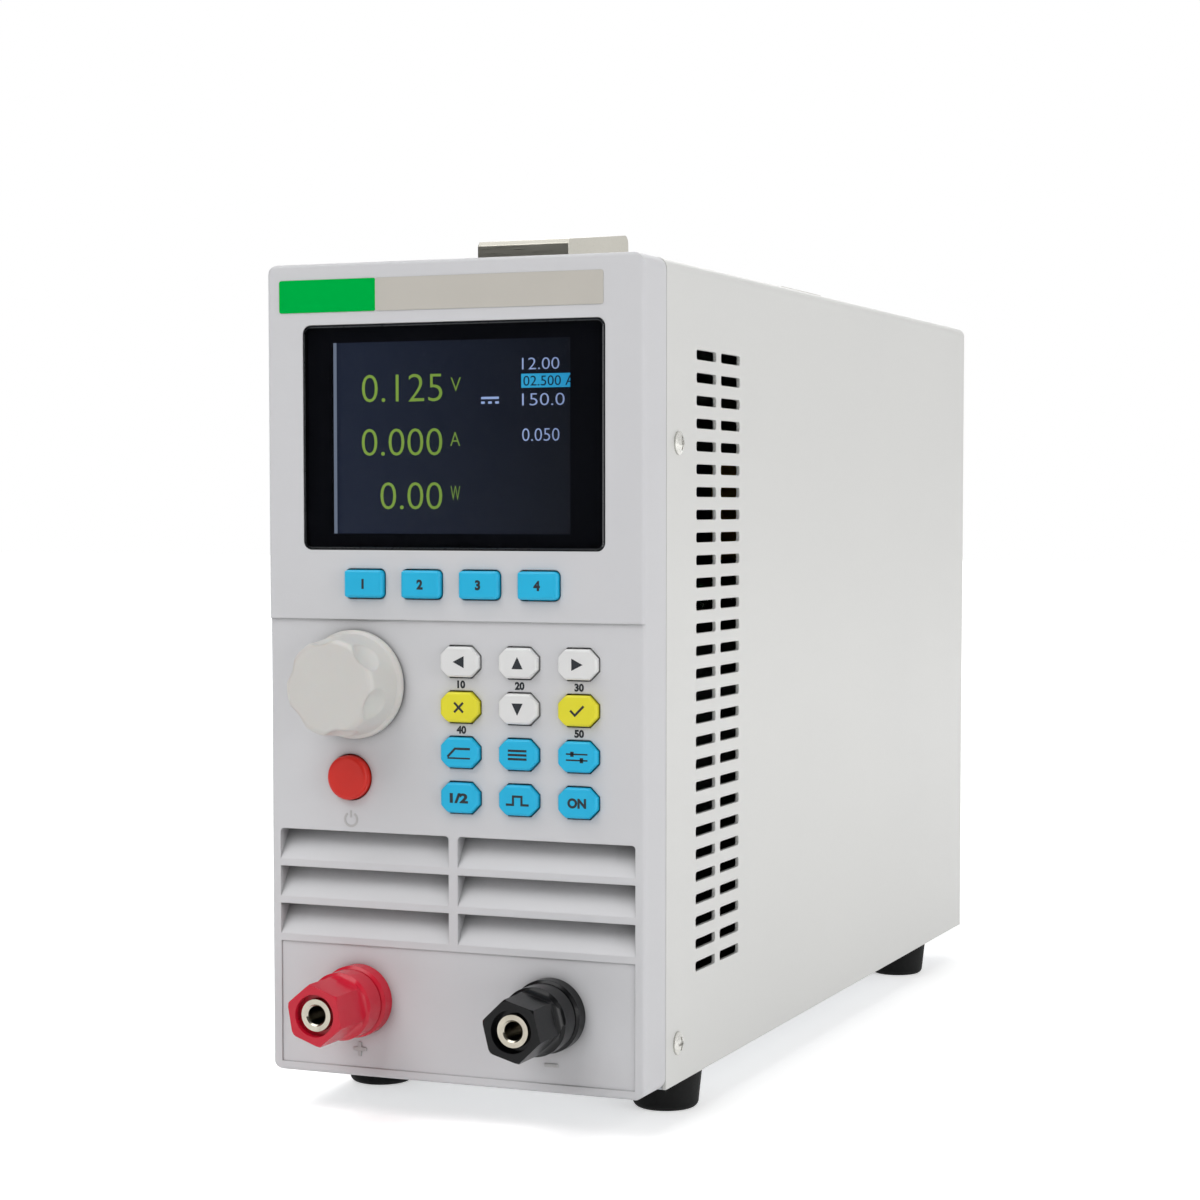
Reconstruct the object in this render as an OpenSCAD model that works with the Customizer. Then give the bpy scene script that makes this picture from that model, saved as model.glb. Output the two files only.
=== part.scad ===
// Bench DC electronic load: moulded front bezel on a bent steel case, with its controls,
// binding posts, cooling tunnel, fan and carrying strap.
// Working frame: X to the right and Y to the back seen from the front, Z up.
// Y = 0 is the upper front face and Z = 0 is the underside of the case.

/* [Case] */
// Width of the case
case_w = 90; // [84:1:100]
// Height of the case without its feet
case_h = 180; // [172:1:200]
// Depth from the front face to the cover's rear edge
case_d = 262.5; // [255:0.5:300]
// Depth of the bezel's side walls
bezel_d = 12.8; // [12.5:0.1:15]
// Thickness of the bezel's side, top and bottom walls
bezel_wall = 2.5; // [2:0.1:2.8]
// Thickness of the bezel's front wall
front_wall = 3.5; // [3.2:0.1:4]
// Corner radius of the bezel seen from the front
bezel_corner = 2.8; // [1:0.1:4]
// Radius along the bezel's front edges
bezel_edge = 0.8; // [0.5:0.1:2.4]
// Drop from the soft keys' centres to the step between the upper and lower front faces
step_drop = 7.9; // [7:0.1:9]
// How far the lower front face is set back
step_d = 0.5; // [0.4:0.1:1]
// Sheet thickness of the cover
cover_t = 0.8; // [0.6:0.1:1.2]
// Outer bend radius of the cover
cover_bend = 2.5; // [1.5:0.1:4]
// Sheet thickness of the tray and the rear panel
sheet_t = 1; // [0.8:0.1:1.2]
// Height of the tray's side flanges
tray_flange = 14; // [12:1:18]
// Clearance between the cover and what it slides over
case_fit = 0.2; // [0.1:0.05:0.4]

/* [Side vents] */
// Most rows of slots in each side
vent_rows = 28; // [10:1:28]
// Columns of slots in each side
vent_cols = 2; // [1:1:4]
// Distance between slot rows
vent_pitch_z = 5.04; // [4:0.01:5.2]
// Distance between slot columns
vent_pitch_y = 15.9; // [14:0.1:20]
// Length of a slot
vent_len = 12.8; // [8:0.1:13.4]
// Height of a slot
vent_h = 2.2; // [1.5:0.1:3]
// Corner radius of a slot
vent_r = 0.7; // [0.3:0.1:0.7]
// Drop from the case's top to the top row
vent_drop = 19.9; // [15:0.1:25]
// Front end of the first column
vent_front_y = 31.4; // [29:0.1:40]

/* [Front louvre] */
// Most rows of louvre openings
louvre_rows = 3; // [1:1:3]
// Distance between louvre rows
louvre_pitch = 8.45; // [8.3:0.05:8.6]
// Height of a louvre opening
louvre_open = 6.85; // [6.5:0.05:7]
// Drop from the power button's axis to the top of the highest opening
louvre_drop = 12.1; // [11:0.1:14]
// Bezel left at each end of the louvre
louvre_margin = 2.2; // [2:0.1:6]
// Width of the rib between the two louvre columns
louvre_rib = 2.2; // [1.5:0.1:5]
// Corner radius at the top of the highest openings
louvre_r = 0.8; // [0.4:0.1:1.2]
// Slope of a slat above the horizontal
slat_angle = 57; // [50:1:62]
// Depth that a slat reaches behind the lower front face
slat_d = 4.6; // [4:0.1:4.8]

/* [Display] */
// Width of the display lens
lens_w = 72; // [68:0.5:73]
// Height of the display lens
lens_h = 49.2; // [46:0.2:50]
// Thickness of the display lens
lens_t = 2; // [1.5:0.1:2.2]
// Corner radius of the lens
lens_r = 1.8; // [1:0.1:3]
// Chamfer on the lens's front edge
lens_bevel = 0.5; // [0.2:0.1:0.8]
// Drop from the case's top to the lens's centre
lens_drop = 38.2; // [36:0.1:40]
// Width of the ledge that carries the lens
lens_ledge = 2.4; // [1.5:0.1:3]
// Clearance around the lens
lens_fit = 0.12; // [0.05:0.01:0.3]
// Width of the display module
module_w = 69.2; // [68:0.1:70]
// Height of the display module
module_h = 49.8; // [48:0.1:50]
// Thickness of the display module
module_t = 3.6; // [3:0.1:4]

/* [Keys] */
// Distance between key columns
key_pitch_x = 13.9; // [13:0.1:14]
// Distance between key rows
key_pitch_z = 9.88; // [9.6:0.01:10]
// Width of a keypad key
key_w = 9.1; // [8.6:0.1:9.8]
// Height of a keypad key
key_h = 6.6; // [6:0.1:7.2]
// Corner cut of a keypad key, across and up
key_cut = 2; // [1:0.1:2.4]
// Width of a soft key
soft_w = 9.4; // [8.8:0.1:10]
// Height of a soft key
soft_h = 6.1; // [5.6:0.1:6.6]
// Corner radius of a soft key
soft_r = 1.1; // [0.6:0.1:2]
// Height of a key's face above its panel
key_proud = 1.4; // [1.2:0.1:2.2]
// Radius along a key's front edge
key_edge = 0.7; // [0.3:0.1:0.9]
// Travel of a key
key_travel = 0.5; // [0.25:0.05:0.7]
// Clearance around a key in its hole
key_fit = 0.3; // [0.2:0.05:0.35]
// Drop from the step to the middle of the keypad's top row
keypad_drop = 8.8; // [8:0.1:10]
// Distance from the case's right side to the keypad's last column
keypad_inset = 15.1; // [14:0.1:15.5]
// Drop from the lens's centre to the soft keys' centres
soft_drop = 32.1; // [30:0.1:34]

/* [Knob] */
// Distance from the case's left side to the knob's axis
knob_inset = 21.5; // [20:0.1:23]
// Drop from the step to the knob's axis
knob_drop = 14.3; // [13:0.1:15]
// Diameter of the knob's base
knob_base_d = 24; // [22:0.1:26]
// Diameter of the knob's front face
knob_front_d = 21.4; // [18:0.1:21.8]
// Length of the knob
knob_len = 12.6; // [10:0.1:15]
// Gap between the knob and the panel
knob_gap = 0.6; // [0.4:0.1:1]
// Number of finger scoops
knob_scoops = 6; // [4:1:8]
// Diameter of the encoder shaft
shaft_d = 6; // [4:0.1:6]
// Diameter of the encoder's threaded neck
neck_d = 9; // [8:0.1:9.5]
// Running clearance of the shaft, on the radius
shaft_fit = 0.05; // [0.02:0.01:0.1]

/* [Power button] */
// Distance from the case's left side to the power button's axis
power_inset = 20; // [19:0.1:22]
// Drop from the knob's axis to the power button's axis
power_drop = 20.7; // [20:0.1:22]
// Diameter of the power button
power_d = 9.9; // [8:0.1:11]
// Height of the button's face above its panel
power_proud = 2.1; // [1.8:0.1:3]
// Travel of the button outwards from its latched place
power_out = 1.8; // [1:0.1:2]
// Travel of the button inwards from its latched place
power_in = 0.7; // [0.4:0.1:0.8]

/* [Binding posts] */
// Distance from the case's side to a post's axis
post_inset = 21.8; // [18:0.1:25]
// Height of the posts' axes
post_z = 17.2; // [15:0.1:17.6]
// Depth of the terminal recess in the lower front face
recess_d = 0.3; // [0.2:0.1:0.6]
// Diameter of the fixed collar
collar_d = 16; // [14:0.1:18]
// Length of the fixed collar
collar_len = 3.8; // [3:0.1:5]
// Thickness of the clamping washer
washer_t = 1.2; // [0.8:0.1:2]
// Diameter of the clamping washer
washer_d = 11.5; // [10:0.1:13]
// Diameter of the thumb nut's round skirt
nut_d = 15; // [14:0.1:16]
// Length of the round skirt
skirt_len = 6.1; // [5:0.1:7]
// Length of the whole thumb nut
nut_len = 17.1; // [15:0.1:19]
// Width of the hexagonal nose across its flats
nose_af = 12; // [11:0.1:12.6]
// Width of the hexagonal nose across its rounded corners
nose_d = 13.9; // [13:0.1:14.4]
// Diameter of the stud
stud_d = 7; // [6.6:0.1:7.6]
// Diameter of the stud's rear thread
stud_rear_d = 6; // [5:0.1:6.4]
// Diameter of the plug socket
socket_d = 4.1; // [4:0.05:4.3]
// Depth of the plug socket
socket_len = 20; // [16:0.5:22]
// Running clearance of the thumb nut on the stud, on the radius
nut_fit = 0.08; // [0.03:0.01:0.1]

/* [Feet] */
// Height of a foot
foot_h = 9; // [6:0.5:14]
// Diameter of a foot where it meets the case
foot_d = 16.6; // [12:0.1:18]
// Distance from the case's side to a foot's axis
foot_inset = 9; // [9:0.1:20]
// Place of the front feet behind the front face
foot_front_y = 36.5; // [30:0.5:60]
// Place of the rear feet behind the front face
foot_rear_y = 224.5; // [200:0.5:240]

/* [Handle] */
// Width of the handle's end caps
cap_w = 22.7; // [20:0.1:28]
// Length of an end cap
cap_len = 36.5; // [32:0.5:42]
// Height of the front cap at its nose
cap_nose_h = 7.5; // [7:0.1:9]
// Height of the front cap at its mouth
cap_mouth_h = 11.3; // [9:0.1:14]
// Wall of an end cap
cap_wall = 1.6; // [1.2:0.1:1.7]
// Place of the front cap's nose behind the front face
cap_front_y = 38.5; // [34:0.5:46]
// Place of the rear cap's back end behind the front face
cap_rear_y = 228; // [200:0.5:236]
// Width of the strap
strap_w = 18; // [15:0.1:18.4]
// Thickness of the strap
strap_t = 2.6; // [2:0.1:2.8]
// How far the strap lifts in its caps
strap_lift = 2; // [1:0.1:2.2]

/* [Cooling] */
// Gap between the case's side and the fan's square frame
fan_gap = 5; // [4:0.5:10]
// Depth of the fan
fan_d = 25; // [20:0.5:30]
// Distance from the fan's side to its screw holes
fan_hole_inset = 4.25; // [4:0.05:5]
// Height of the fan's axis
fan_z = 62; // [58:0.5:66]
// Blades of the fan
fan_blades = 7; // [5:1:9]
// Gap between the case's side and the heat sink
sink_gap = 13; // [12.5:0.5:16]
// Height of the heat sink
sink_h = 96; // [80:1:98]
// Front end of the heat sink behind the front face
sink_front_y = 66; // [64:0.5:80]
// Length of the heat sink
sink_len = 162; // [130:1:165]
// Fins of the heat sink
sink_fins = 11; // [7:1:13]
// Thickness of a fin
fin_t = 1.8; // [1.2:0.1:2.2]
// Thickness of the heat sink's base
sink_base = 8; // [6:0.5:10]

/* [Power supply] */
// Height of the standoffs that carry the load board
standoff_h = 10; // [8:0.5:12]
// Gap between the case's side and the load board
load_board_gap = 6; // [4:0.5:9]
// Front edge of the load board behind the front face
load_board_y = 40; // [36:0.5:44]
// Thickness of the circuit boards
board_t = 1.6; // [1:0.1:2]
// Drop from the case's top to the mains inlet's centre
inlet_drop = 38; // [30:0.5:45]

/* [Hidden] */
$fn = 64;
EPS = 0.01;
// Shorter circles for what repeats often
fn_small = 32;

// Heights on the front, from the top down
lens_z = case_h - lens_drop;
soft_z = lens_z - soft_drop;
step_z = soft_z - step_drop;
keypad_top_z = step_z - keypad_drop;
knob_z = step_z - knob_drop;
power_z = knob_z - power_drop;
louvre_top = power_z - louvre_drop;

// Sideways places on the front
keypad_x = case_w / 2 - keypad_inset - key_pitch_x;
knob_x = -case_w / 2 + knob_inset;
power_x = -case_w / 2 + power_inset;
post_x = case_w / 2 - post_inset;

// Front faces and the stack of pieces behind the front wall
front_lower = step_d;
post_face = step_d + recess_d;
flange_t = 1;
key_seat = 0.1;
flange_rim = 0.7;
key_flange_y = front_wall + key_seat;
stem_d = 3;
stem_well_fit = 0.3;
stem_in = 0.8;
stem_room = 0.6;
switch_h = 4;
switch_w = 6;
switch_y = key_flange_y + flange_t + key_travel + stem_room;
well_len = stem_in + key_travel + stem_room;
board_y = switch_y + switch_h;
board_back = board_y + board_t;
boss_d = 4.6;
boss_above_louvre = 2.8;
boss_above_step = 1.8;
boss_drop = 10;
boss_zs = [louvre_top + boss_above_louvre, step_z + boss_above_step, case_h - boss_drop];
board_rim = 3.5;
board_low_z = boss_zs[0] - board_rim;
board_top_z = boss_zs[2] + board_rim;
board_screw_d = 2.5;
board_screw_bite = 4;
board_head_d = 4.4;
board_head_h = 1.6;
pilot_floor = 1;
thread_fit = 0.03;
bezel_inner_r = 1;

// Widths inside the cover, from the outside in
cover_in = case_w / 2 - cover_t;
flange_out = cover_in - case_fit;
flange_in = flange_out - sheet_t;
tongue_t = 2.5;
tongue_out = flange_in - case_fit / 2;
tongue_in = tongue_out - tongue_t;
board_half_w = tongue_in - case_fit;
boss_inset = 2.4;
boss_x = board_half_w - boss_inset;
tongue_reach = 13.2;
tongue_end_y = bezel_d + tongue_reach;
tongue_overlap = 4.6;
tongue_root_y = bezel_d - tongue_overlap;
tongue_low = 4;
tongue_drop = 8;
tongue_z = [tongue_low, case_h - tongue_drop];
screw_pad_d = 9;
side_screw_inset = 7.2;
side_screw_y = bezel_d + side_screw_inset;
side_screw_low = 9;
side_screw_drop = 39.6;
side_screw_zs = [side_screw_low, case_h - side_screw_drop];
side_screw_d = 3;
side_screw_short = 0.4;
side_head_d = 5.2;
side_head_h = 1.2;
screw_hole_fit = 0.2;

// Rear panel, from the inside out
rear_out = case_d - case_fit;
rear_in = rear_out - sheet_t;
rear_bend = 10;
rear_bend_gap = 2;
cover_under = case_h - cover_t;
cover_in_r = max(cover_bend - cover_t, EPS);
panel_top = cover_under - case_fit;

// Side vents: as many rows as fit above the tray's flange
vent_top_z = case_h - vent_drop;
vent_low = 8;
vent_fit_rows = min(vent_rows, 1 + floor((vent_top_z - tray_flange - vent_low) / vent_pitch_z));

// Keys: name, sideways place, height, soft key or keypad key, colour
KEY_BLUE = [0.16, 0.66, 0.88];
KEY_WHITE = [0.92, 0.92, 0.92];
KEY_YELLOW = [0.92, 0.86, 0.16];
PAD = [
    ["key_left", "key_up", "key_right"],
    ["key_back", "key_down", "key_confirm"],
    ["key_mode", "key_menu", "key_setup"],
    ["key_channel", "key_trigger", "key_load"]
];
PAD_TINT = [
    [KEY_WHITE, KEY_WHITE, KEY_WHITE],
    [KEY_YELLOW, KEY_WHITE, KEY_YELLOW],
    [KEY_BLUE, KEY_BLUE, KEY_BLUE],
    [KEY_BLUE, KEY_BLUE, KEY_BLUE]
];
soft_count = 4;
SOFT_KEYS = [for (i = [0:soft_count - 1])
    [str("soft_key_", i + 1), (i - (soft_count - 1) / 2) * key_pitch_x, soft_z, true, KEY_BLUE]];
PAD_KEYS = [for (r = [0:len(PAD) - 1]) for (c = [0:len(PAD[r]) - 1])
    [PAD[r][c], keypad_x + (c - 1) * key_pitch_x, keypad_top_z - r * key_pitch_z, false, PAD_TINT[r][c]]];
KEYS = concat(SOFT_KEYS, PAD_KEYS);

key_flange_r = 1;

// Louvre: as many rows as fit above the terminal recess
louvre_x = case_w / 2 - louvre_margin;
louvre_sill = 1.6;
post_head_room = 3;
louvre_low = post_z + collar_d / 2 + post_head_room + louvre_sill;
louvre_room = louvre_top - louvre_low + louvre_pitch - louvre_open;
louvre_fit_rows = min(louvre_rows, floor(louvre_room / louvre_pitch));
louvre_bottom = louvre_top - (louvre_fit_rows - 1) * louvre_pitch - louvre_open;
slat_rise = slat_d * tan(slat_angle);
slat_thick = louvre_pitch - louvre_open;
rib_foot = 1;
recess_top = louvre_bottom - louvre_sill;
recess_low = 2;
recess_margin = 2.3;

// Knob and encoder
neck_fit = 0.25;
nut_af = 11;
encoder_nut_t = 1.6;
neck_past_nut = 0.4;
encoder_w = 13;
encoder_gap = 0.4;
encoder_y = front_wall + encoder_gap;
shaft_in = 3;
shaft_end_gap = 0.2;
shaft_short = 0.3;
knob_back = front_lower - knob_gap;
knob_front = knob_back - knob_len;
knob_face_t = 2;
knob_bore_len = knob_len - knob_face_t;
knob_pocket_fit = 0.8;
knob_pocket_d = nut_af / cos(30) + 2 * knob_pocket_fit;
neck_front = front_lower - encoder_nut_t - neck_past_nut;
knob_pocket_len = encoder_nut_t + neck_past_nut + knob_pocket_fit;

// Power button
power_face = front_lower - power_proud;
power_fit = 0.25;
power_flange_gap = 0.3;
power_flange_rim = 1.2;
power_flange_y = front_wall + power_out + power_flange_gap;
power_switch_w = 12;
power_switch_len = 14;
power_stem_d = 4;
power_stem_in = 3;
power_well_len = power_stem_in + power_in + stem_room;

// Binding posts
washer_y = post_face - collar_len;
washer_front = washer_y - washer_t;
washer_fit = 0.2;
nut_gap = 0.3;
nut_back = washer_y - nut_gap;
nut_front = nut_back - nut_len;
stud_sunk = 0.8;
stud_front = nut_front + stud_sunk;
stud_shoulder_gap = 0.1;
stud_past_nut = 2.5;
rear_nut_t = 3.5;
rear_nut_af = 10;
lug_t = 1;
lug_y = front_wall + rear_nut_t;
stud_back = lug_y + lug_t + rear_nut_t + stud_past_nut;
POSTS = [["red", -post_x, -10], ["black", post_x, -14]];

// Feet and the handle
foot_x = case_w / 2 - foot_inset;
FEET = [for (sx = [-1, 1]) for (y = [foot_front_y, foot_rear_y]) [sx * foot_x, y]];
foot_screw_d = 3;
foot_screw_past = 2;
foot_hole = foot_screw_d + 2 * screw_hole_fit;
foot_recess_d = 7;
foot_recess_h = 4.5;
foot_head_d = 6;
foot_head_h = 2.2;
cap_floor = 1.2;
strap_gap = 0.1;
strap_z = case_h + cap_floor + strap_gap;
strap_room = 0.8;
cap_rear_h = cap_floor + strap_gap + strap_t + strap_lift + strap_room + cap_wall;
cap_screw_d = 3;
cap_screw_short = 1.4;
cap_head_d = 6;
cap_head_h = 2;
cap_boss_d = 5.6;
cap_boss_inset = 20;
cap_boss_y = cap_front_y + cap_boss_inset;
rear_boss_y = cap_rear_y - cap_boss_inset;
cap_round = 2;
strap_end = 7;
strap_end_r = 3;
strap_slot_fit = 0.4;
strap_slot_play = 2;

// Cooling tunnel and the fan
fan_size = case_w - 2 * fan_gap;
fan_pitch = fan_size - 2 * fan_hole_inset;
fan_in = rear_in - fan_d;
fan_ring_wall = 2;
fan_bore = fan_size - 2 * fan_ring_wall;
fan_corner = 4;
fan_tip_gap = 1;
fan_end_gap = 1;
fan_hub_d = 34;
fan_pin_d = 3;
fan_boss_d = 9;
fan_boss_in = 6;
fan_strut = 4;
guard_wire = 1.6;
guard_arm = 1.8;
guard_weld = 0.4;
guard_seat = 0.1;
guard_reach = guard_arm + guard_wire - guard_weld;
eyelet_t = 1.2;
eyelet_rim = 2.5;
fan_screw_d = 4;
fan_screw_bite = 12;
fan_head_d = 7.2;
FAN_HOLES = [for (sx = [-1, 1]) for (sz = [-1, 1]) [sx * fan_pitch / 2, fan_z + sz * fan_pitch / 2]];
sink_w = case_w - 2 * sink_gap;
sink_foot = sheet_t;
sink_top = sink_h;
sink_back_y = sink_front_y + sink_len;
fin_gap_low = 6;
sink_toe = 9;
fin_pitch = (sink_w - fin_t) / (sink_fins - 1);
load_board_w = case_w - 2 * load_board_gap;
load_board_z = sink_top + standoff_h;
load_board_top = load_board_z + board_t;
load_board_short = 4;
load_board_back = sink_back_y - load_board_short;
standoff_inset = 6;
standoff_front = 8;
standoff_rear = 12;
standoff_d = 6.4;
standoff_stud = 2.4;
STANDOFFS = [for (sx = [-1, 1]) for (y = [sink_front_y + standoff_front, sink_back_y - standoff_rear])
    [sx * (sink_w / 2 - standoff_inset), y]];

// Mains inlet
inlet_z = case_h - inlet_drop;
inlet_w = 27.6;
inlet_h = 20;
inlet_cut = 3;
inlet_wall = 1.6;
inlet_flange_w = 48;
inlet_flange_rim = 1.5;
inlet_flange_h = inlet_h + 2 * inlet_flange_rim;
inlet_flange_r = 4;
inlet_flange_t = 3;
inlet_depth = 22;
inlet_cavity_w = inlet_w - 2 * inlet_wall;
inlet_cavity_h = inlet_h - 2 * inlet_wall;
inlet_cavity_len = 16;
inlet_ear = 4;
inlet_screw_x = inlet_flange_w / 2 - inlet_ear;
inlet_screw_len = 6;
inlet_head_d = 5.4;
inlet_head_h = 1.2;
inlet_sink_h = 1.4;
inlet_head_y = rear_out + inlet_flange_t - inlet_sink_h;
inlet_fit = 0.2;

// Reach of the whole object, which centres it over its origin
reach_front = nut_front;
reach_rear = rear_out + max(guard_reach, inlet_flange_t);
centre_y = -(reach_front + reach_rear) / 2;

// Moves the working frame so that the object stands centred on its origin.
module in_frame() {
    translate([0, centre_y, foot_h]) children();
}

// Extrudes a drawing of X and Z from one depth to another.
module along_y(y0, y1) {
    translate([0, y1, 0]) rotate([90, 0, 0]) linear_extrude(y1 - y0) children();
}

// Extrudes a drawing of Y and Z from one side to another.
module along_x(x0, x1) {
    translate([x0, 0, 0]) rotate([90, 0, 90]) linear_extrude(x1 - x0) children();
}

// Turns a drawing of radius and forward height about an axis that points forwards.
module turned(x, y, z) {
    translate([x, y, z]) rotate([90, 0, 0]) rotate_extrude() children();
}

// Round bar along Y.
module bar_y(d, x, z, y0, y1) {
    translate([x, y1, z]) rotate([90, 0, 0]) cylinder(d = d, h = y1 - y0);
}

// Hexagonal bar along Y, given across its flats, with a corner at the top.
module hex_y(af, x, z, y0, y1) {
    translate([x, y1, z]) rotate([90, 0, 0]) rotate(30) cylinder(d = af / cos(30), h = y1 - y0, $fn = 6);
}

// Rectangle with round corners, centred.
module round_rect(w, h, r) {
    square([w - 2 * r, h], center = true);
    square([w, h - 2 * r], center = true);
    for (sx = [-1, 1], sy = [-1, 1])
        translate([sx * (w / 2 - r), sy * (h / 2 - r)]) circle(r);
}

// Rectangle with cut corners, centred.
module cut_rect(w, h, c) {
    polygon([
        [-w / 2 + c, -h / 2], [w / 2 - c, -h / 2], [w / 2, -h / 2 + c], [w / 2, h / 2 - c],
        [w / 2 - c, h / 2], [-w / 2 + c, h / 2], [-w / 2, h / 2 - c], [-w / 2, -h / 2 + c]
    ]);
}

// Plan of a piece with round front corners, width by depth.
module front_round(w, y0, y1, r) {
    translate([-w / 2, y0 + r]) square([w, y1 - y0 - r]);
    translate([-w / 2 + r, y0]) square([w - 2 * r, y1 - y0]);
    for (sx = [-1, 1])
        translate([sx * (w / 2 - r), y0 + r]) circle(r);
}

// Side view of the same, depth by height.
module front_round_side(h, y0, y1, r) {
    translate([y0 + r, -h / 2]) square([y1 - y0 - r, h]);
    translate([y0, -h / 2 + r]) square([y1 - y0, h - 2 * r]);
    for (sz = [-1, 1])
        translate([y0 + r, sz * (h / 2 - r)]) circle(r);
}

// Outline extruded along Y with its front edge rounded.
module soft_prism(w, h, y0, y1, r) {
    intersection() {
        along_y(y0, y1) children();
        translate([0, 0, -h]) linear_extrude(2 * h) front_round(w, y0, y1, r);
        along_x(-w, w) front_round_side(h, y0, y1, r);
    }
}

// Pan-head screw along +Z from the underside of its head, head downwards, with a cross slot.
module pan_screw(d, len, head_d, head_h) {
    dome_share = 0.9;
    slot_share = 0.6;
    slot_width = 0.14;
    cylinder(d = d, h = len);
    translate([0, 0, -head_h]) difference() {
        intersection() {
            cylinder(d = head_d, h = head_h);
            translate([0, 0, head_d * dome_share]) sphere(head_d * dome_share);
        }
        for (turn = [0, 90])
            rotate(turn) translate([0, 0, head_h / 4])
                cube([head_d * slot_share, head_d * slot_width, head_h / 2 + EPS], center = true);
    }
}

// Bezel

module key_outline(soft, grow = 0) {
    if (soft) round_rect(soft_w + 2 * grow, soft_h + 2 * grow, soft_r + grow);
    else cut_rect(key_w + 2 * grow, key_h + 2 * grow, key_cut + grow * (2 - sqrt(2)));
}

module bezel_blank() {
    intersection() {
        along_y(0, bezel_d) translate([0, case_h / 2]) round_rect(case_w, case_h, bezel_corner);
        union() {
            translate([0, 0, step_z]) linear_extrude(case_h - step_z)
                front_round(case_w, 0, bezel_d, bezel_edge);
            linear_extrude(step_z) front_round(case_w, front_lower, bezel_d, bezel_edge);
        }
        along_x(-case_w, case_w) union() {
            translate([0, case_h / 2]) front_round_side(case_h, front_lower, bezel_d, bezel_edge);
            translate([0, step_z]) square([bezel_d, case_h - step_z - bezel_edge]);
            translate([bezel_edge, step_z]) square([bezel_d - bezel_edge, case_h - step_z]);
            translate([bezel_edge, case_h - bezel_edge]) circle(bezel_edge);
        }
    }
}

module bezel_tongues() {
    for (sx = [0, 1]) mirror([sx, 0, 0]) {
        translate([tongue_in, tongue_root_y, tongue_z[0]])
            cube([tongue_t, tongue_end_y - tongue_root_y, tongue_z[1] - tongue_z[0]]);
        translate([tongue_in, tongue_root_y, tongue_z[0]])
            cube([cover_in - tongue_in, bezel_d - tongue_root_y - EPS, tongue_z[1] - tongue_z[0]]);
        translate([tongue_out - EPS, side_screw_y, side_screw_zs[1]])
            rotate([0, 90, 0]) cylinder(d = screw_pad_d, h = flange_out - tongue_out);
    }
}

module louvre_slats() {
    for (row = [0:louvre_fit_rows - 1]) {
        low = louvre_top - louvre_open - row * louvre_pitch;
        along_x(-louvre_x - EPS, louvre_x + EPS) polygon([
            [front_lower, low - slat_thick],
            [front_lower, low],
            [front_lower + slat_d, low + slat_rise],
            [front_lower + slat_d, low + slat_rise - slat_thick]
        ]);
    }
    translate([-louvre_rib / 2, front_lower, louvre_bottom - rib_foot])
        cube([louvre_rib, slat_d, louvre_top - louvre_bottom + rib_foot]);
}

module front_bezel() {
    color([0.80, 0.80, 0.81]) difference() {
        union() {
            difference() {
                bezel_blank();
                along_y(front_wall, bezel_d + 1) translate([0, case_h / 2])
                    round_rect(case_w - 2 * bezel_wall, case_h - 2 * bezel_wall, bezel_inner_r);
                for (row = [0:louvre_fit_rows - 1])
                    along_y(-1, front_wall + 1)
                        translate([-louvre_x, louvre_top - louvre_open - row * louvre_pitch])
                            square([2 * louvre_x, louvre_open - (row == 0 ? louvre_r : 0)]);
                for (sx = [-1, 1])
                    along_y(-1, front_wall + 1)
                        translate([sx * (louvre_x + louvre_rib / 2) / 2, louvre_top - louvre_open / 2])
                            round_rect(louvre_x - louvre_rib / 2, louvre_open, louvre_r);
            }
            bezel_tongues();
            louvre_slats();
            for (sx = [-1, 1], z = boss_zs)
                bar_y(boss_d, sx * boss_x, z, front_wall - EPS, board_y);
        }
        along_y(-1, lens_t) translate([0, lens_z])
            round_rect(lens_w + 2 * lens_fit, lens_h + 2 * lens_fit, lens_r + lens_fit);
        along_y(-1, front_wall + 1) translate([0, lens_z])
            square([lens_w - 2 * lens_ledge, lens_h - 2 * lens_ledge], center = true);
        for (k = KEYS)
            along_y(-1, front_wall + 1) translate([k[1], k[2]]) key_outline(k[3], key_fit);
        bar_y(neck_d + 2 * neck_fit, knob_x, knob_z, -1, front_wall + 1);
        bar_y(power_d + 2 * power_fit, power_x, power_z, -1, front_wall + 1);
        along_y(-1, post_face) translate([-case_w / 2 + recess_margin, recess_low])
            square([case_w - 2 * recess_margin, recess_top - recess_low]);
        for (p = POSTS)
            bar_y(stud_rear_d + 2 * thread_fit, p[1], post_z, -1, front_wall + 1);
        for (sx = [-1, 1], z = boss_zs)
            bar_y(board_screw_d + 2 * thread_fit, sx * boss_x, z, front_wall + pilot_floor, board_y + 1);
        for (sx = [-1, 1], z = side_screw_zs)
            translate([sx * (tongue_in - 1), side_screw_y, z]) rotate([0, sx * 90, 0])
                cylinder(d = side_screw_d + 2 * thread_fit, h = cover_in);
    }
}

// Bent steel case

module tray_profile() {
    polygon([
        [-flange_out, 0], [flange_out, 0], [flange_out, tray_flange], [flange_in, tray_flange],
        [flange_in, sheet_t], [-flange_in, sheet_t], [-flange_in, tray_flange], [-flange_out, tray_flange]
    ]);
}

module base_tray() {
    color([0.72, 0.73, 0.75]) difference() {
        along_y(bezel_d + case_fit, rear_in - case_fit) tray_profile();
        for (sx = [-1, 1])
            translate([sx * (flange_in - 1), side_screw_y, side_screw_zs[0]]) rotate([0, sx * 90, 0])
                cylinder(d = side_screw_d + 2 * thread_fit, h = sheet_t + 2);
        for (f = FEET)
            translate([f[0], f[1], -1]) cylinder(d = foot_screw_d + 2 * thread_fit, h = sheet_t + 2);
    }
}

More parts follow.
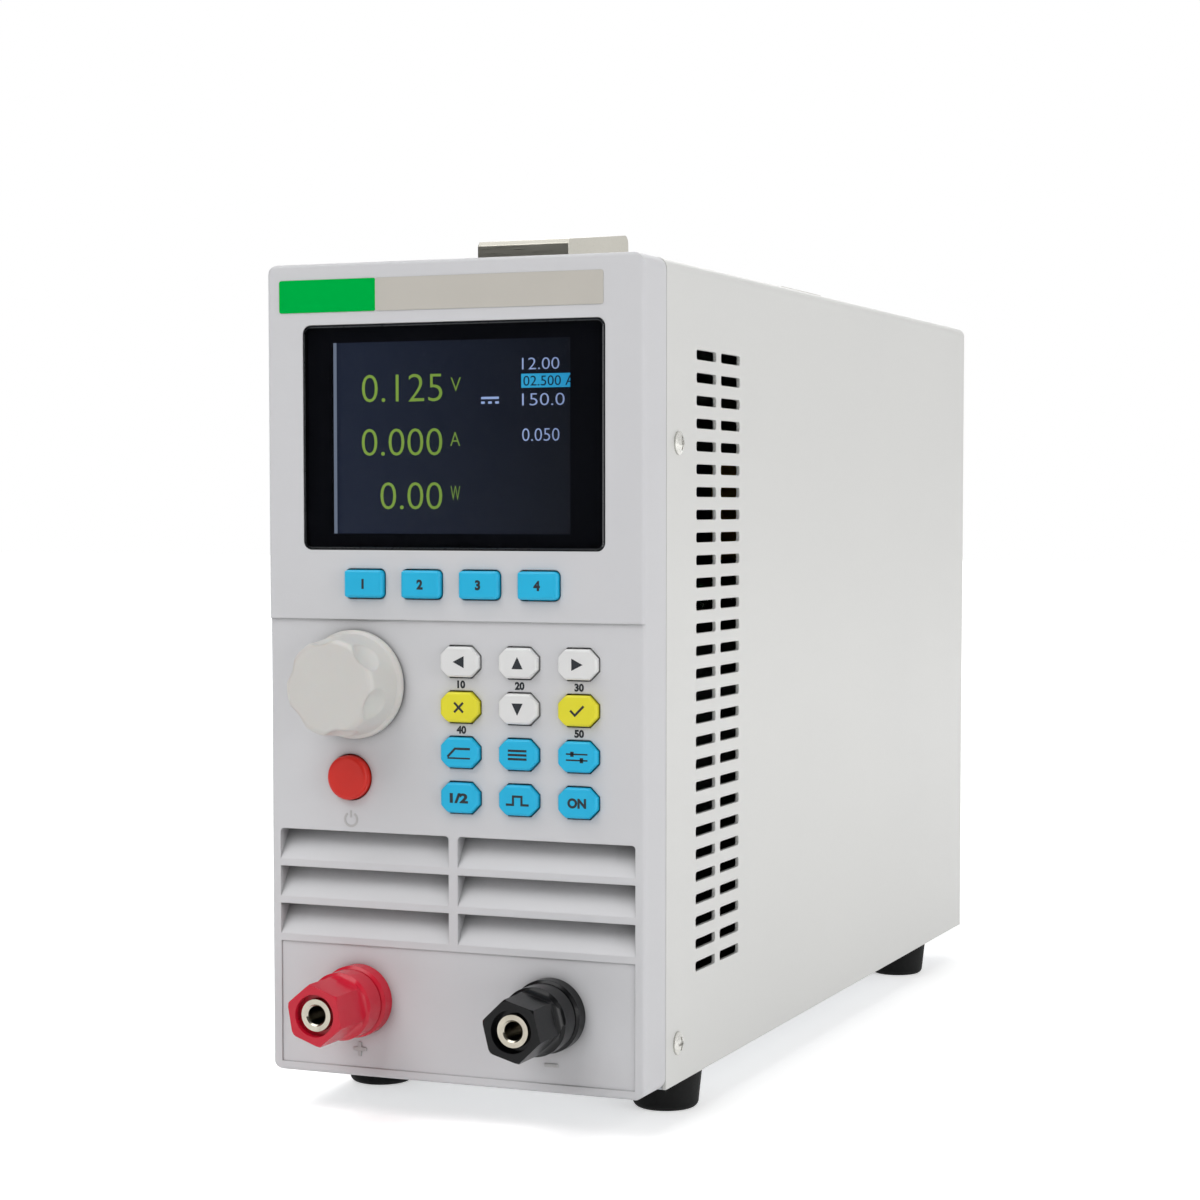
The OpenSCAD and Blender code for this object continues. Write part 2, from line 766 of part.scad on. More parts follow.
module rear_panel() {
    bend_half = flange_in - rear_bend_gap;
    bend_low = tray_flange + rear_bend_gap;
    color([0.80, 0.80, 0.79]) difference() {
        union() {
            along_y(rear_in, rear_out) translate([0, sheet_t])
                cover_outline(2 * flange_out, panel_top - sheet_t, cover_in_r);
            for (z = [sheet_t, panel_top - sheet_t])
                translate([-bend_half, rear_in - rear_bend, z])
                    cube([2 * bend_half, rear_bend + EPS, sheet_t]);
            for (sx = [0, 1]) mirror([sx, 0, 0])
                translate([flange_in, rear_in - rear_bend, bend_low])
                    cube([sheet_t, rear_bend + EPS, panel_top - cover_bend - bend_low]);
        }
        bar_y(fan_bore, 0, fan_z, rear_in - 1, rear_out + 1);
        for (h = FAN_HOLES)
            bar_y(fan_screw_d + 2 * screw_hole_fit, h[0], h[1], rear_in - 1, rear_out + 1);
        along_y(rear_in - 1, rear_out + 1) translate([0, inlet_z])
            cut_rect(inlet_w + 2 * inlet_fit, inlet_h + 2 * inlet_fit, inlet_cut);
        for (sx = [-1, 1])
            bar_y(side_screw_d + 2 * screw_hole_fit, sx * inlet_screw_x, inlet_z, rear_in - 1, rear_out + 1);
    }
}

module cover_outline(w, top, r) {
    translate([-w / 2, 0]) square([w, top - r]);
    translate([-w / 2 + r, 0]) square([w - 2 * r, top]);
    for (sx = [-1, 1])
        translate([sx * (w / 2 - r), top - r]) circle(r);
}

module vent_slots() {
    for (c = [0:vent_cols - 1], r = [0:vent_fit_rows - 1])
        translate([vent_front_y + vent_len / 2 + c * vent_pitch_y, vent_top_z - r * vent_pitch_z])
            round_rect(vent_len, vent_h, vent_r, $fn = fn_small);
}

module top_cover() {
    color([0.83, 0.83, 0.82]) difference() {
        along_y(bezel_d + case_fit, case_d) difference() {
            cover_outline(case_w, case_h, cover_bend);
            translate([0, -1]) cover_outline(2 * cover_in, cover_under + 1, cover_in_r);
        }
        along_x(-case_w, case_w) vent_slots();
        for (z = side_screw_zs)
            translate([-case_w, side_screw_y, z]) rotate([0, 90, 0])
                cylinder(d = side_screw_d + 2 * screw_hole_fit, h = 2 * case_w);
        for (y = [cap_boss_y, rear_boss_y])
            translate([0, y, cover_under - 1])
                cylinder(d = cap_screw_d + 2 * screw_hole_fit, h = cover_t + 2);
    }
}

module feet() {
    lip = 1.6;
    taper = 0.8;
    low_r = foot_d / 2 - taper;
    color([0.07, 0.07, 0.08]) for (f = FEET) translate([f[0], f[1], -foot_h]) rotate_extrude() difference() {
        union() {
            polygon([
                [0, 0], [low_r - lip, 0], [low_r - lip, lip], [low_r, lip], [foot_d / 2, foot_h], [0, foot_h]
            ]);
            translate([low_r - lip, lip]) intersection() {
                circle(lip);
                translate([-EPS, -lip]) square([lip + EPS, lip + EPS]);
            }
        }
        translate([-1, -1]) square([foot_recess_d / 2 + 1, foot_recess_h + 1]);
        translate([-1, -1]) square([foot_hole / 2 + 1, foot_h + 2]);
    }
}

module foot_screws() {
    shank = foot_h - foot_recess_h + sheet_t + foot_screw_past;
    color([0.75, 0.75, 0.76]) for (f = FEET)
        translate([f[0], f[1], -foot_h + foot_recess_h])
            pan_screw(foot_screw_d, shank, foot_head_d, foot_head_h);
}

module cover_screws() {
    color([0.78, 0.78, 0.78]) for (sx = [0, 1]) mirror([sx, 0, 0]) for (z = side_screw_zs)
        translate([case_w / 2, side_screw_y, z]) rotate([0, -90, 0])
            pan_screw(side_screw_d, case_w / 2 - tongue_in - side_screw_short, side_head_d, side_head_h);
}

// Carrying handle

// Side view of the front cap: a low nose that rises to a rounded mouth.
module front_cap_side(inset) {
    nose_cut = 1;
    top = cap_mouth_h - inset;
    nose = cap_nose_h - inset;
    polygon([
        [inset, 0], [cap_len, 0], [cap_len, top - cap_round], [cap_len - cap_round, top - cap_round],
        [cap_len - cap_round, top], [inset + nose_cut, nose], [inset, nose - nose_cut]
    ]);
    translate([cap_len - cap_round, top - cap_round]) circle(cap_round);
}

module cap_boss(y, roof) {
    translate([0, y, case_h]) cylinder(d = cap_boss_d, h = roof);
}

module cap_pilot(y, roof) {
    translate([0, y, case_h - 1]) cylinder(d = cap_screw_d + 2 * thread_fit, h = roof);
}

module handle_front_cap() {
    roof = cap_nose_h - cap_wall;
    mouth_reach = 0.5;
    mouth_drop = 0.6;
    mouth_in = cap_round + mouth_reach;
    mouth_h = cap_mouth_h - cap_floor - cap_wall - mouth_drop;
    color([0.86, 0.85, 0.82]) difference() {
        union() {
            difference() {
                translate([0, cap_front_y, case_h]) along_x(-cap_w / 2, cap_w / 2) front_cap_side(0);
                translate([0, cap_front_y, case_h + cap_floor]) intersection() {
                    along_x(-cap_w / 2 + cap_wall, cap_w / 2 - cap_wall)
                        translate([0, -cap_floor]) front_cap_side(cap_wall);
                    translate([-cap_w, cap_wall, 0]) cube([2 * cap_w, cap_len, cap_mouth_h]);
                }
                translate([-cap_w / 2 + cap_wall, cap_front_y + cap_len - mouth_in, case_h + cap_floor])
                    cube([cap_w - 2 * cap_wall, 2 * mouth_in, mouth_h]);
            }
            cap_boss(cap_boss_y, roof);
        }
        cap_pilot(cap_boss_y, roof);
    }
}

module handle_rear_cap() {
    roof = cap_rear_h - cap_wall;
    inner_w = cap_w - 2 * cap_wall;
    color([0.86, 0.85, 0.82]) difference() {
        union() {
            difference() {
                intersection() {
                    translate([0, cap_rear_y, case_h]) mirror([0, 1, 0]) along_x(-cap_w / 2, cap_w / 2)
                        translate([0, cap_rear_h / 2]) front_round_side(cap_rear_h, 0, cap_len, cap_round);
                    translate([-cap_w, 0, case_h]) cube([2 * cap_w, case_d, cap_rear_h]);
                }
                translate([-inner_w / 2, cap_rear_y - cap_len - 1, case_h + cap_floor])
                    cube([inner_w, cap_len + 1 - 2 * cap_wall, cap_rear_h - cap_floor - cap_wall]);
            }
            cap_boss(rear_boss_y, roof);
        }
        cap_pilot(rear_boss_y, roof);
    }
}

module handle_strap() {
    slot = cap_boss_d + 2 * strap_slot_fit;
    front = cap_boss_y - strap_end;
    back = rear_boss_y + strap_end;
    color([0.30, 0.31, 0.33]) translate([0, 0, strap_z]) linear_extrude(strap_t) difference() {
        translate([0, (front + back) / 2]) round_rect(strap_w, back - front, strap_end_r);
        for (y = [cap_boss_y, rear_boss_y])
            translate([0, y]) round_rect(slot, slot + strap_slot_play, slot / 2 - strap_slot_fit / 2);
    }
}

module handle_screws() {
    len = cover_t + cap_nose_h - cap_wall - cap_screw_short;
    color([0.75, 0.75, 0.76]) for (y = [cap_boss_y, rear_boss_y])
        translate([0, y, cover_under]) pan_screw(cap_screw_d, len, cap_head_d, cap_head_h);
}

// Display and front circuit board

module display_lens() {
    color([0.05, 0.05, 0.06]) translate([0, 0, lens_z]) intersection() {
        along_y(0, lens_t) round_rect(lens_w, lens_h, lens_r);
        translate([0, 0, -lens_h]) linear_extrude(2 * lens_h) polygon([
            [-lens_w / 2 + lens_bevel, 0], [lens_w / 2 - lens_bevel, 0], [lens_w / 2, lens_bevel],
            [lens_w / 2, lens_t], [-lens_w / 2, lens_t], [-lens_w / 2, lens_bevel]
        ]);
        along_x(-lens_w, lens_w) polygon([
            [0, -lens_h / 2 + lens_bevel], [0, lens_h / 2 - lens_bevel], [lens_bevel, lens_h / 2],
            [lens_t, lens_h / 2], [lens_t, -lens_h / 2], [lens_bevel, -lens_h / 2]
        ]);
    }
}

module display_module() {
    spacer = 5;
    color([0.13, 0.15, 0.20]) {
        along_y(front_wall, front_wall + module_t) translate([0, lens_z])
            square([module_w, module_h], center = true);
        for (sx = [-1, 1])
            along_y(front_wall + module_t - EPS, board_y)
                translate([sx * (module_w - spacer) / 2, lens_z])
                    square([spacer, module_h - 2 * spacer], center = true);
    }
}

module control_board() {
    color([0.10, 0.42, 0.24]) difference() {
        along_y(board_y, board_back) translate([-board_half_w, board_low_z])
            square([2 * board_half_w, board_top_z - board_low_z]);
        for (sx = [-1, 1], z = boss_zs)
            bar_y(board_screw_d + 2 * screw_hole_fit, sx * boss_x, z, board_y - 1, board_back + 1);
        bar_y(power_stem_d + 2 * stem_well_fit, power_x, power_z, board_y - 1, board_back + 1);
    }
}

module board_screws() {
    color([0.75, 0.75, 0.76]) for (sx = [-1, 1], z = boss_zs)
        translate([sx * boss_x, board_back, z]) rotate([90, 0, 0])
            pan_screw(board_screw_d, board_t + board_screw_bite, board_head_d, board_head_h);
}

module key_switches() {
    color([0.10, 0.10, 0.11]) for (k = KEYS) difference() {
        along_y(switch_y, board_y) translate([k[1], k[2]]) square(switch_w, center = true);
        bar_y(stem_d + 2 * stem_well_fit, k[1], k[2], switch_y - 1, switch_y + well_len);
    }
}

// A key: its cap in the bezel's hole, a flange behind the wall and a stem in the switch.
module key_cap(k) {
    w = k[3] ? soft_w : key_w;
    h = k[3] ? soft_h : key_h;
    face = (k[3] ? 0 : front_lower) - key_proud;
    color(k[4]) translate([k[1], 0, k[2]]) {
        soft_prism(w, h, face, key_flange_y + EPS, key_edge) key_outline(k[3]);
        along_y(key_flange_y, key_flange_y + flange_t)
            round_rect(w + 2 * flange_rim, h + 2 * flange_rim, key_flange_r);
        bar_y(stem_d, 0, 0, key_flange_y + flange_t - EPS, switch_y + stem_in);
    }
}

// Knob and encoder

module control_knob() {
    edge = 1.4;
    rim_h = 1.3;
    rim_w = 0.8;
    rim_slope = 0.6;
    scoop_r = 6.5;
    scoop_turn = 20;
    scoop_out = 4.9;
    scoop_back = 2;
    base_r = knob_base_d / 2;
    front_r = knob_front_d / 2;
    color([0.87, 0.86, 0.84]) difference() {
        turned(knob_x, knob_back, knob_z) difference() {
            union() {
                polygon([
                    [0, 0], [base_r, 0], [base_r, rim_h], [base_r - rim_w, rim_h + rim_slope],
                    [front_r, knob_len - edge], [front_r - edge, knob_len - edge],
                    [front_r - edge, knob_len], [0, knob_len]
                ]);
                translate([front_r - edge, knob_len - edge]) circle(edge);
            }
            translate([-1, -1]) square([knob_pocket_d / 2 + 1, knob_pocket_len + 1]);
            translate([-1, -1]) square([shaft_d / 2 + thread_fit + 1, knob_bore_len + 1]);
            translate([-2 * base_r, -1]) square([2 * base_r, knob_len + 2]);
        }
        for (i = [0:knob_scoops - 1])
            translate([knob_x, knob_front + scoop_back, knob_z])
                rotate([0, scoop_turn + i * 360 / knob_scoops, 0])
                    translate([front_r + scoop_out, 0, 0]) sphere(scoop_r);
    }
}

module encoder_shaft() {
    front = knob_back - knob_bore_len + shaft_short;
    color([0.70, 0.70, 0.71]) bar_y(shaft_d, knob_x, knob_z, front, encoder_y + shaft_in);
}

module encoder_body() {
    color([0.62, 0.63, 0.65]) difference() {
        union() {
            along_y(encoder_y, board_y) translate([knob_x, knob_z]) square(encoder_w, center = true);
            bar_y(neck_d, knob_x, knob_z, neck_front, encoder_y + EPS);
        }
        bar_y(shaft_d + 2 * shaft_fit, knob_x, knob_z, neck_front - 1, encoder_y + shaft_in + shaft_end_gap);
    }
}

module encoder_nut() {
    color([0.78, 0.78, 0.78]) difference() {
        hex_y(nut_af, knob_x, knob_z, front_lower - encoder_nut_t, front_lower);
        bar_y(neck_d + 2 * thread_fit, knob_x, knob_z, neck_front - 1, front_lower + 1);
    }
}

// Power button

module power_button() {
    edge = 0.8;
    color([0.82, 0.20, 0.16]) {
        turned(power_x, front_wall, power_z) {
            square([power_d / 2 - edge, front_wall - power_face]);
            square([power_d / 2, front_wall - power_face - edge]);
            translate([power_d / 2 - edge, front_wall - power_face - edge]) intersection() {
                circle(edge);
                square(edge);
            }
        }
        bar_y(power_d, power_x, power_z, front_wall - EPS, power_flange_y + EPS);
        bar_y(power_d + 2 * power_flange_rim, power_x, power_z, power_flange_y, power_flange_y + flange_t);
        bar_y(power_stem_d, power_x, power_z, power_flange_y + flange_t - EPS, board_back + power_stem_in);
    }
}

module power_switch() {
    well_d = power_stem_d + 2 * stem_well_fit;
    color([0.12, 0.12, 0.13]) difference() {
        along_y(board_back, board_back + power_switch_len) translate([power_x, power_z])
            square(power_switch_w, center = true);
        bar_y(well_d, power_x, power_z, board_back - 1, board_back + power_well_len);
    }
}

// Binding posts

module post_stud(x) {
    shoulder_y = post_face - stud_shoulder_gap;
    lead_in = 0.35;
    color([0.83, 0.80, 0.72]) difference() {
        union() {
            bar_y(stud_d, x, post_z, stud_front, shoulder_y);
            bar_y(stud_rear_d, x, post_z, shoulder_y - EPS, stud_back);
        }
        bar_y(socket_d, x, post_z, stud_front - 1, stud_front + socket_len);
        turned(x, stud_front, post_z) polygon([
            [0, -lead_in], [socket_d / 2, -lead_in], [socket_d / 2 + 2 * lead_in, lead_in], [0, lead_in]
        ]);
    }
}

module post_collar(x, tint) {
    edge = 0.6;
    color(tint) turned(x, post_face, post_z) difference() {
        polygon([
            [0, 0], [collar_d / 2, 0], [collar_d / 2, collar_len - edge],
            [collar_d / 2 - edge, collar_len], [0, collar_len]
        ]);
        translate([-1, -1]) square([stud_d / 2 + nut_fit + 1, collar_len + 2]);
    }
}

module post_washer(x) {
    color([0.83, 0.80, 0.72]) difference() {
        bar_y(washer_d, x, post_z, washer_front, washer_y);
        bar_y(stud_d + 2 * nut_fit, x, post_z, washer_front - 1, washer_y + 1);
    }
}

// Thumb nut: a round skirt around the washer, then a nose whose six flats run out in hollow curves.
module post_nut(x, tint, turn) {
    edge = 0.4;
    skirt_edge = 0.4;
    skirt_slope = 0.6;
    mouth_rim = 1.1;
    mouth_d = stud_d + 2 * mouth_rim;
    mouth_len = 2.2;
    runout_r = 3;
    runout = 1.9;
    flat_y = skirt_len + runout;
    color(tint) translate([x, nut_back, post_z]) rotate([0, turn, 0]) difference() {
        turned(0, 0, 0) difference() {
            polygon([
                [0, 0], [nut_d / 2 - skirt_edge, 0], [nut_d / 2, skirt_edge],
                [nut_d / 2, skirt_len - skirt_slope], [nose_d / 2, skirt_len],
                [nose_d / 2, nut_len - edge], [nose_d / 2 - edge, nut_len], [0, nut_len]
            ]);
            translate([-1, -1]) square([stud_d / 2 + nut_fit + 1, nut_len + 2]);
            translate([-1, nut_len - mouth_len]) square([mouth_d / 2 + 1, mouth_len + 1]);
            translate([-1, -1]) square([washer_d / 2 + washer_fit + 1, washer_t - nut_gap + 1]);
        }
        for (i = [0:5]) rotate([0, i * 60 + 30, 0])
            translate([0, 0, nose_af / 2]) along_x(-nose_d, nose_d) {
                translate([-nut_len - 1, 0]) square([nut_len + 1 - flat_y, 2 * runout_r]);
                translate([-flat_y, runout_r]) circle(runout_r);
            }
    }
}

module post_rear_nuts() {
    color([0.78, 0.78, 0.78]) for (p = POSTS, y = [front_wall, lug_y + lug_t]) difference() {
        hex_y(rear_nut_af, p[1], post_z, y, y + rear_nut_t);
        bar_y(stud_rear_d + 2 * thread_fit, p[1], post_z, y - 1, y + rear_nut_t + 1);
    }
}

// Quarter of a ring of wire that turns from +Z at its start to +Y at its end, or back again.
module wire_bend(d, bend, up) {
    intersection() {
        rotate([0, 90, 0]) rotate_extrude() translate([bend, 0]) circle(d = d, $fn = fn_small);
        translate([-d, up ? 0 : -bend - d, up ? -bend - d : 0]) cube([2 * d, bend + d, bend + d]);
    }
}

// Leads from the posts: a ring lug, up behind the louvre, back and up to the load board.
module input_leads() {
    wire_d = 4;
    lug_d = 12;
    lug_tongue = 4;
    wire_gap = 0.4;
    wire_straight = 6;
    bend = 8;
    rise_y = lug_y + wire_d / 2;
    rise_z = post_z + lug_d / 2 + wire_gap;
    run_z = rise_z + wire_straight + bend;
    lead_inset = 12;
    up_y = load_board_y + lead_inset;
    for (p = POSTS) color(p[0] == "red" ? [0.70, 0.12, 0.14] : [0.10, 0.10, 0.11]) {
        difference() {
            union() {
                bar_y(lug_d, p[1], post_z, lug_y, lug_y + lug_t);
                translate([p[1] - wire_d / 2, lug_y, post_z]) cube([wire_d, lug_t, lug_d / 2 + lug_tongue]);
            }
            bar_y(stud_rear_d + 2 * thread_fit, p[1], post_z, lug_y - 1, lug_y + lug_t + 1);
        }
        translate([p[1], rise_y, rise_z]) cylinder(d = wire_d, h = wire_straight + EPS);
        translate([p[1], rise_y + bend, run_z - bend]) wire_bend(wire_d, bend, false);
        translate([p[1], rise_y + bend, run_z]) rotate([-90, 0, 0])
            cylinder(d = wire_d, h = up_y - bend - rise_y - bend);
        translate([p[1], up_y - bend, run_z + bend]) wire_bend(wire_d, bend, true);
        translate([p[1], up_y, run_z + bend]) cylinder(d = wire_d, h = load_board_z - run_z - bend);
    }
}

// Fan

module fan_ring() {
    difference() {
        round_rect(fan_size, fan_size, fan_corner);
        circle(d = fan_bore);
    }
}

module fan_frame() {
    strut_turn = 20;
    color([0.09, 0.09, 0.10]) difference() {
        union() {
            along_y(fan_in, rear_in) translate([0, fan_z]) fan_ring();
            along_y(rear_in - fan_strut, rear_in) translate([0, fan_z]) {
                circle(d = fan_hub_d);
                for (i = [0:3])
                    rotate(strut_turn + i * 90) translate([0, -fan_strut / 2])
                        square([fan_bore / 2 + fan_ring_wall / 2, fan_strut]);
            }
            bar_y(fan_boss_d, 0, fan_z, fan_in + fan_boss_in, rear_in - fan_strut / 2);
        }
        bar_y(fan_pin_d + 2 * shaft_fit, 0, fan_z, fan_in, rear_in - fan_end_gap);
        for (h = FAN_HOLES)
            bar_y(fan_screw_d + 2 * thread_fit, h[0], h[1], fan_in - 1, rear_in + 1);
    }
}

// One cambered blade: part of a thin tube along the radius, turned to its pitch.
module fan_blade(y, chord) {
    blade_t = 1.5;
    blade_pitch = 42;
    camber_r = 34;
    root = fan_hub_d / 2 - 2;
    reach = fan_size / 2;
    translate([root, y, fan_z]) rotate([blade_pitch, 0, 0]) intersection() {
        translate([0, 0, -camber_r]) rotate([0, 90, 0]) difference() {
            cylinder(r = camber_r + blade_t / 2, h = reach);
            translate([0, 0, -1]) cylinder(r = camber_r - blade_t / 2, h = reach + 2);
        }
        translate([-1, -chord / 2, -camber_r / 2]) cube([reach + 2, chord, camber_r]);
    }
}

module fan_rotor() {
    front = fan_in + 1.5 * fan_end_gap;
    back = rear_in - fan_strut - fan_end_gap;
    cup = 2;
    blade_set = 0.5;
    chord = 2 * (back - front);
    color([0.12, 0.12, 0.13]) {
        difference() {
            bar_y(fan_hub_d, 0, fan_z, front, back);
            bar_y(fan_hub_d - 2 * cup, 0, fan_z, front + cup, back + 1);
        }
        bar_y(fan_pin_d, 0, fan_z, front + cup - EPS, rear_in - 1.5 * fan_end_gap);
        intersection() {
            difference() {
                bar_y(fan_bore - 2 * fan_tip_gap, 0, fan_z, front + blade_set, back);
                bar_y(fan_hub_d - cup / 2, 0, fan_z, front - 1, back + 1);
            }
            for (i = [0:fan_blades - 1])
                translate([0, 0, fan_z]) rotate([0, i * 360 / fan_blades, 0]) translate([0, 0, -fan_z])
                    fan_blade((front + back) / 2, chord);
        }
    }
}

module fan_guard() {
    rings = 5;
    ring_start = 4;
    ring_margin = 2;
    ring_step = (fan_bore / 2 - ring_start - ring_margin) / rings;
    arm_start = ring_start + ring_step - guard_wire;
    arm_end = fan_pitch / 2 * sqrt(2) - fan_head_d / 2 - guard_weld;
    arm_y = rear_out + guard_arm / 2 + guard_seat;
    ring_y = rear_out + guard_reach - guard_wire / 2;
    color([0.84, 0.84, 0.84]) difference() {
        union() {
            for (i = [1:rings])
                turned(0, ring_y, fan_z) translate([ring_start + i * ring_step, 0])
                    circle(d = guard_wire, $fn = fn_small);
            for (i = [0:3]) translate([0, arm_y, fan_z]) rotate([0, 45 + i * 90, 0])
                translate([arm_start, 0, 0]) rotate([0, 90, 0])
                    cylinder(d = guard_arm, h = arm_end - arm_start);
            for (h = FAN_HOLES)
                bar_y(fan_screw_d + 2 * eyelet_rim, h[0], h[1], rear_out, rear_out + eyelet_t);
        }
        for (h = FAN_HOLES)
            bar_y(fan_screw_d + 2 * screw_hole_fit, h[0], h[1], rear_out - 1, rear_out + eyelet_t + 1);
    }
}

module rear_screws() {
    fan_head_h = guard_reach - eyelet_t;
    color([0.78, 0.78, 0.78]) {
        for (h = FAN_HOLES)
            translate([h[0], rear_out + eyelet_t, h[1]]) rotate([90, 0, 0])
                pan_screw(fan_screw_d, eyelet_t + sheet_t + fan_screw_bite, fan_head_d, fan_head_h);
        for (sx = [-1, 1])
            translate([sx * inlet_screw_x, inlet_head_y, inlet_z]) rotate([90, 0, 0])
                pan_screw(side_screw_d, inlet_screw_len, inlet_head_d, inlet_head_h);
    }
}

// Mains inlet: a flanged body with a blind cavity and three blades

module mains_inlet() {
    blade_w = 2;
    blade_h = 4;
    blade_pitch = 7;
    blade_rise = 2;
    blade_sunk = 2;
    function rise(i) = i == 0 ? blade_rise : -blade_rise;
    front_y = rear_out + inlet_flange_t;
    cavity_y = front_y - inlet_cavity_len;
    color([0.09, 0.09, 0.10]) {
        difference() {
            union() {
                along_y(rear_out, rear_out + inlet_flange_t) translate([0, inlet_z])
                    round_rect(inlet_flange_w, inlet_flange_h, inlet_flange_r);
                along_y(rear_out + inlet_flange_t - inlet_depth, rear_out + EPS) translate([0, inlet_z])
                    cut_rect(inlet_w, inlet_h, inlet_cut);
            }
            along_y(cavity_y, front_y + 1) translate([0, inlet_z])
                cut_rect(inlet_cavity_w, inlet_cavity_h, inlet_cut);
            for (x = [-inlet_screw_x, inlet_screw_x]) {
                bar_y(side_screw_d + 2 * screw_hole_fit, x, inlet_z, rear_out - 1, front_y + 1);
                bar_y(inlet_head_d + 2 * inlet_fit, x, inlet_z, inlet_head_y, front_y + 1);
            }
        }
        for (i = [-1, 0, 1])
            translate([i * blade_pitch - blade_w / 2, cavity_y - EPS, inlet_z + rise(i) - blade_h / 2])
                cube([blade_w, inlet_cavity_len - blade_sunk, blade_h]);
    }
}

// Heat sink and what stands on it

module heat_sink() {
    color([0.76, 0.77, 0.78]) along_y(sink_front_y, sink_back_y) {
        translate([-sink_w / 2, sink_top - sink_base]) square([sink_w, sink_base]);
        for (i = [0:sink_fins - 1]) {
            low = (i == 0 || i == sink_fins - 1) ? sink_foot : sink_foot + fin_gap_low;
            translate([-sink_w / 2 + i * fin_pitch, low]) square([fin_t, sink_top - low - sink_base + EPS]);
        }
        for (x = [-sink_w / 2, sink_w / 2 - sink_toe])
            translate([x, sink_foot]) square([sink_toe, fin_t]);
    }
}

module power_transistors() {
    body_w = 15.6;
    body_l = 20.6;
    body_t = 5;
    body_inset = 3.4;
    hole_d = 3.6;
    hole_inset = 6;
    lead_w = 1.2;
    lead_len = 3;
    lead_z = 2;
    lead_pitch = 5.4;
    rows = 4;
    row_inset = 30;
    row_pitch = (sink_len - 2 * row_inset) / (rows - 1);
    body_x = sink_w / 2 - body_inset - body_l;
    color([0.13, 0.13, 0.14]) for (sx = [0, 1]) mirror([sx, 0, 0]) for (r = [0:rows - 1]) {
        y = sink_front_y + row_inset + r * row_pitch;
        translate([body_x, y - body_w / 2, sink_top]) difference() {
            cube([body_l, body_w, body_t]);
            translate([body_l - hole_inset, body_w / 2, -1]) cylinder(d = hole_d, h = body_t + 2);
        }
        for (i = [-1, 0, 1])
            translate([body_x - lead_len, y + i * lead_pitch - lead_w / 2, sink_top + lead_z]) {
                cube([lead_len + EPS, lead_w, lead_w]);
                cube([lead_w, lead_w, standoff_h - lead_z]);
            }
    }
}

module load_board() {
    color([0.10, 0.42, 0.24]) difference() {
        translate([-load_board_w / 2, load_board_y, load_board_z])
            cube([load_board_w, load_board_back - load_board_y, board_t]);
        for (s = STANDOFFS) translate([s[0], s[1], load_board_z - 1])
            cylinder(d = side_screw_d + 2 * screw_hole_fit, h = board_t + 2);
    }
}

module board_standoffs() {
    color([0.80, 0.70, 0.42]) for (s = STANDOFFS) translate([s[0], s[1], sink_top]) {
        cylinder(d = standoff_d, h = standoff_h, $fn = 6);
        cylinder(d = side_screw_d, h = standoff_h + board_t + standoff_stud);
    }
}

module mains_transformer() {
    core_w = 44;
    core_h = 37;
    core_d = 18;
    leg_w = 7;
    window_w = 6;
    window_x = core_w / 2 - leg_w - window_w / 2;
    coil_w = 30;
    coil_d = 34;
    coil_gap = 5;
    inset_y = 52;
    color([0.25, 0.26, 0.28]) translate([0, sink_back_y - inset_y, load_board_top]) {
        difference() {
            translate([-core_w / 2, -core_d / 2, 0]) cube([core_w, core_d, core_h]);
            for (sx = [-1, 1]) translate([sx * window_x, 0, core_h / 2])
                cube([window_w, core_d + 1, core_h - 2 * leg_w], center = true);
        }
        for (sy = [-1, 1]) translate([-coil_w / 2, sy > 0 ? core_d / 2 - EPS : -coil_d / 2, coil_gap])
            cube([coil_w, (coil_d - core_d) / 2 + EPS, core_h - 2 * coil_gap]);
    }
}

module filter_capacitors() {
    can_d = 18;
    can_h = 32;
    can_x = 14;
    can_inset = 34;
    crimp_z = 3;
    crimp_r = 0.9;
    crimp_out = 0.3;
    color([0.12, 0.14, 0.20]) for (sx = [-1, 1])
        translate([sx * can_x, sink_front_y + can_inset, load_board_top]) difference() {
            cylinder(d = can_d, h = can_h);
            translate([0, 0, crimp_z]) rotate_extrude() translate([can_d / 2 + crimp_out, 0])
                circle(crimp_r, $fn = fn_small);
        }
}

module film_capacitor() {
    cap_l = 14;
    body_w = 7;
    body_h = 11;
    body_r = 1;
    inset_x = 9;
    inset_y = 4;
    x = load_board_w / 2 - inset_x;
    y = load_board_y + inset_y;
    color([0.72, 0.13, 0.12]) for (sx = [-1, 1])
        translate([sx * x, 0, load_board_top + body_h / 2]) along_y(y, y + cap_l)
            round_rect(body_w, body_h, body_r);
}

in_frame() front_bezel();
in_frame() base_tray();
in_frame() rear_panel();
in_frame() top_cover();
in_frame() feet();
in_frame() foot_screws();
in_frame() cover_screws();
in_frame() handle_front_cap();
in_frame() handle_rear_cap();
in_frame() handle_strap();
in_frame() handle_screws();
in_frame() display_lens();
in_frame() display_module();
in_frame() control_board();
in_frame() board_screws();
in_frame() key_switches();
for (k = KEYS) in_frame() key_cap(k);
in_frame() control_knob();
in_frame() encoder_shaft();
in_frame() encoder_body();
in_frame() encoder_nut();
in_frame() power_button();
in_frame() power_switch();
for (p = POSTS) {
    tint = p[0] == "red" ? [0.80, 0.16, 0.26] : [0.08, 0.08, 0.09];
    in_frame() post_stud(p[1]);
    in_frame() post_collar(p[1], tint);
    in_frame() post_washer(p[1]);
    in_frame() post_nut(p[1], tint, p[2]);
}
in_frame() post_rear_nuts();
in_frame() input_leads();
in_frame() fan_frame();
in_frame() fan_rotor();
in_frame() fan_guard();
in_frame() rear_screws();
in_frame() mains_inlet();
in_frame() heat_sink();
in_frame() power_transistors();
in_frame() load_board();
in_frame() board_standoffs();
in_frame() mains_transformer();
in_frame() filter_capacitors();
in_frame() film_capacitor();
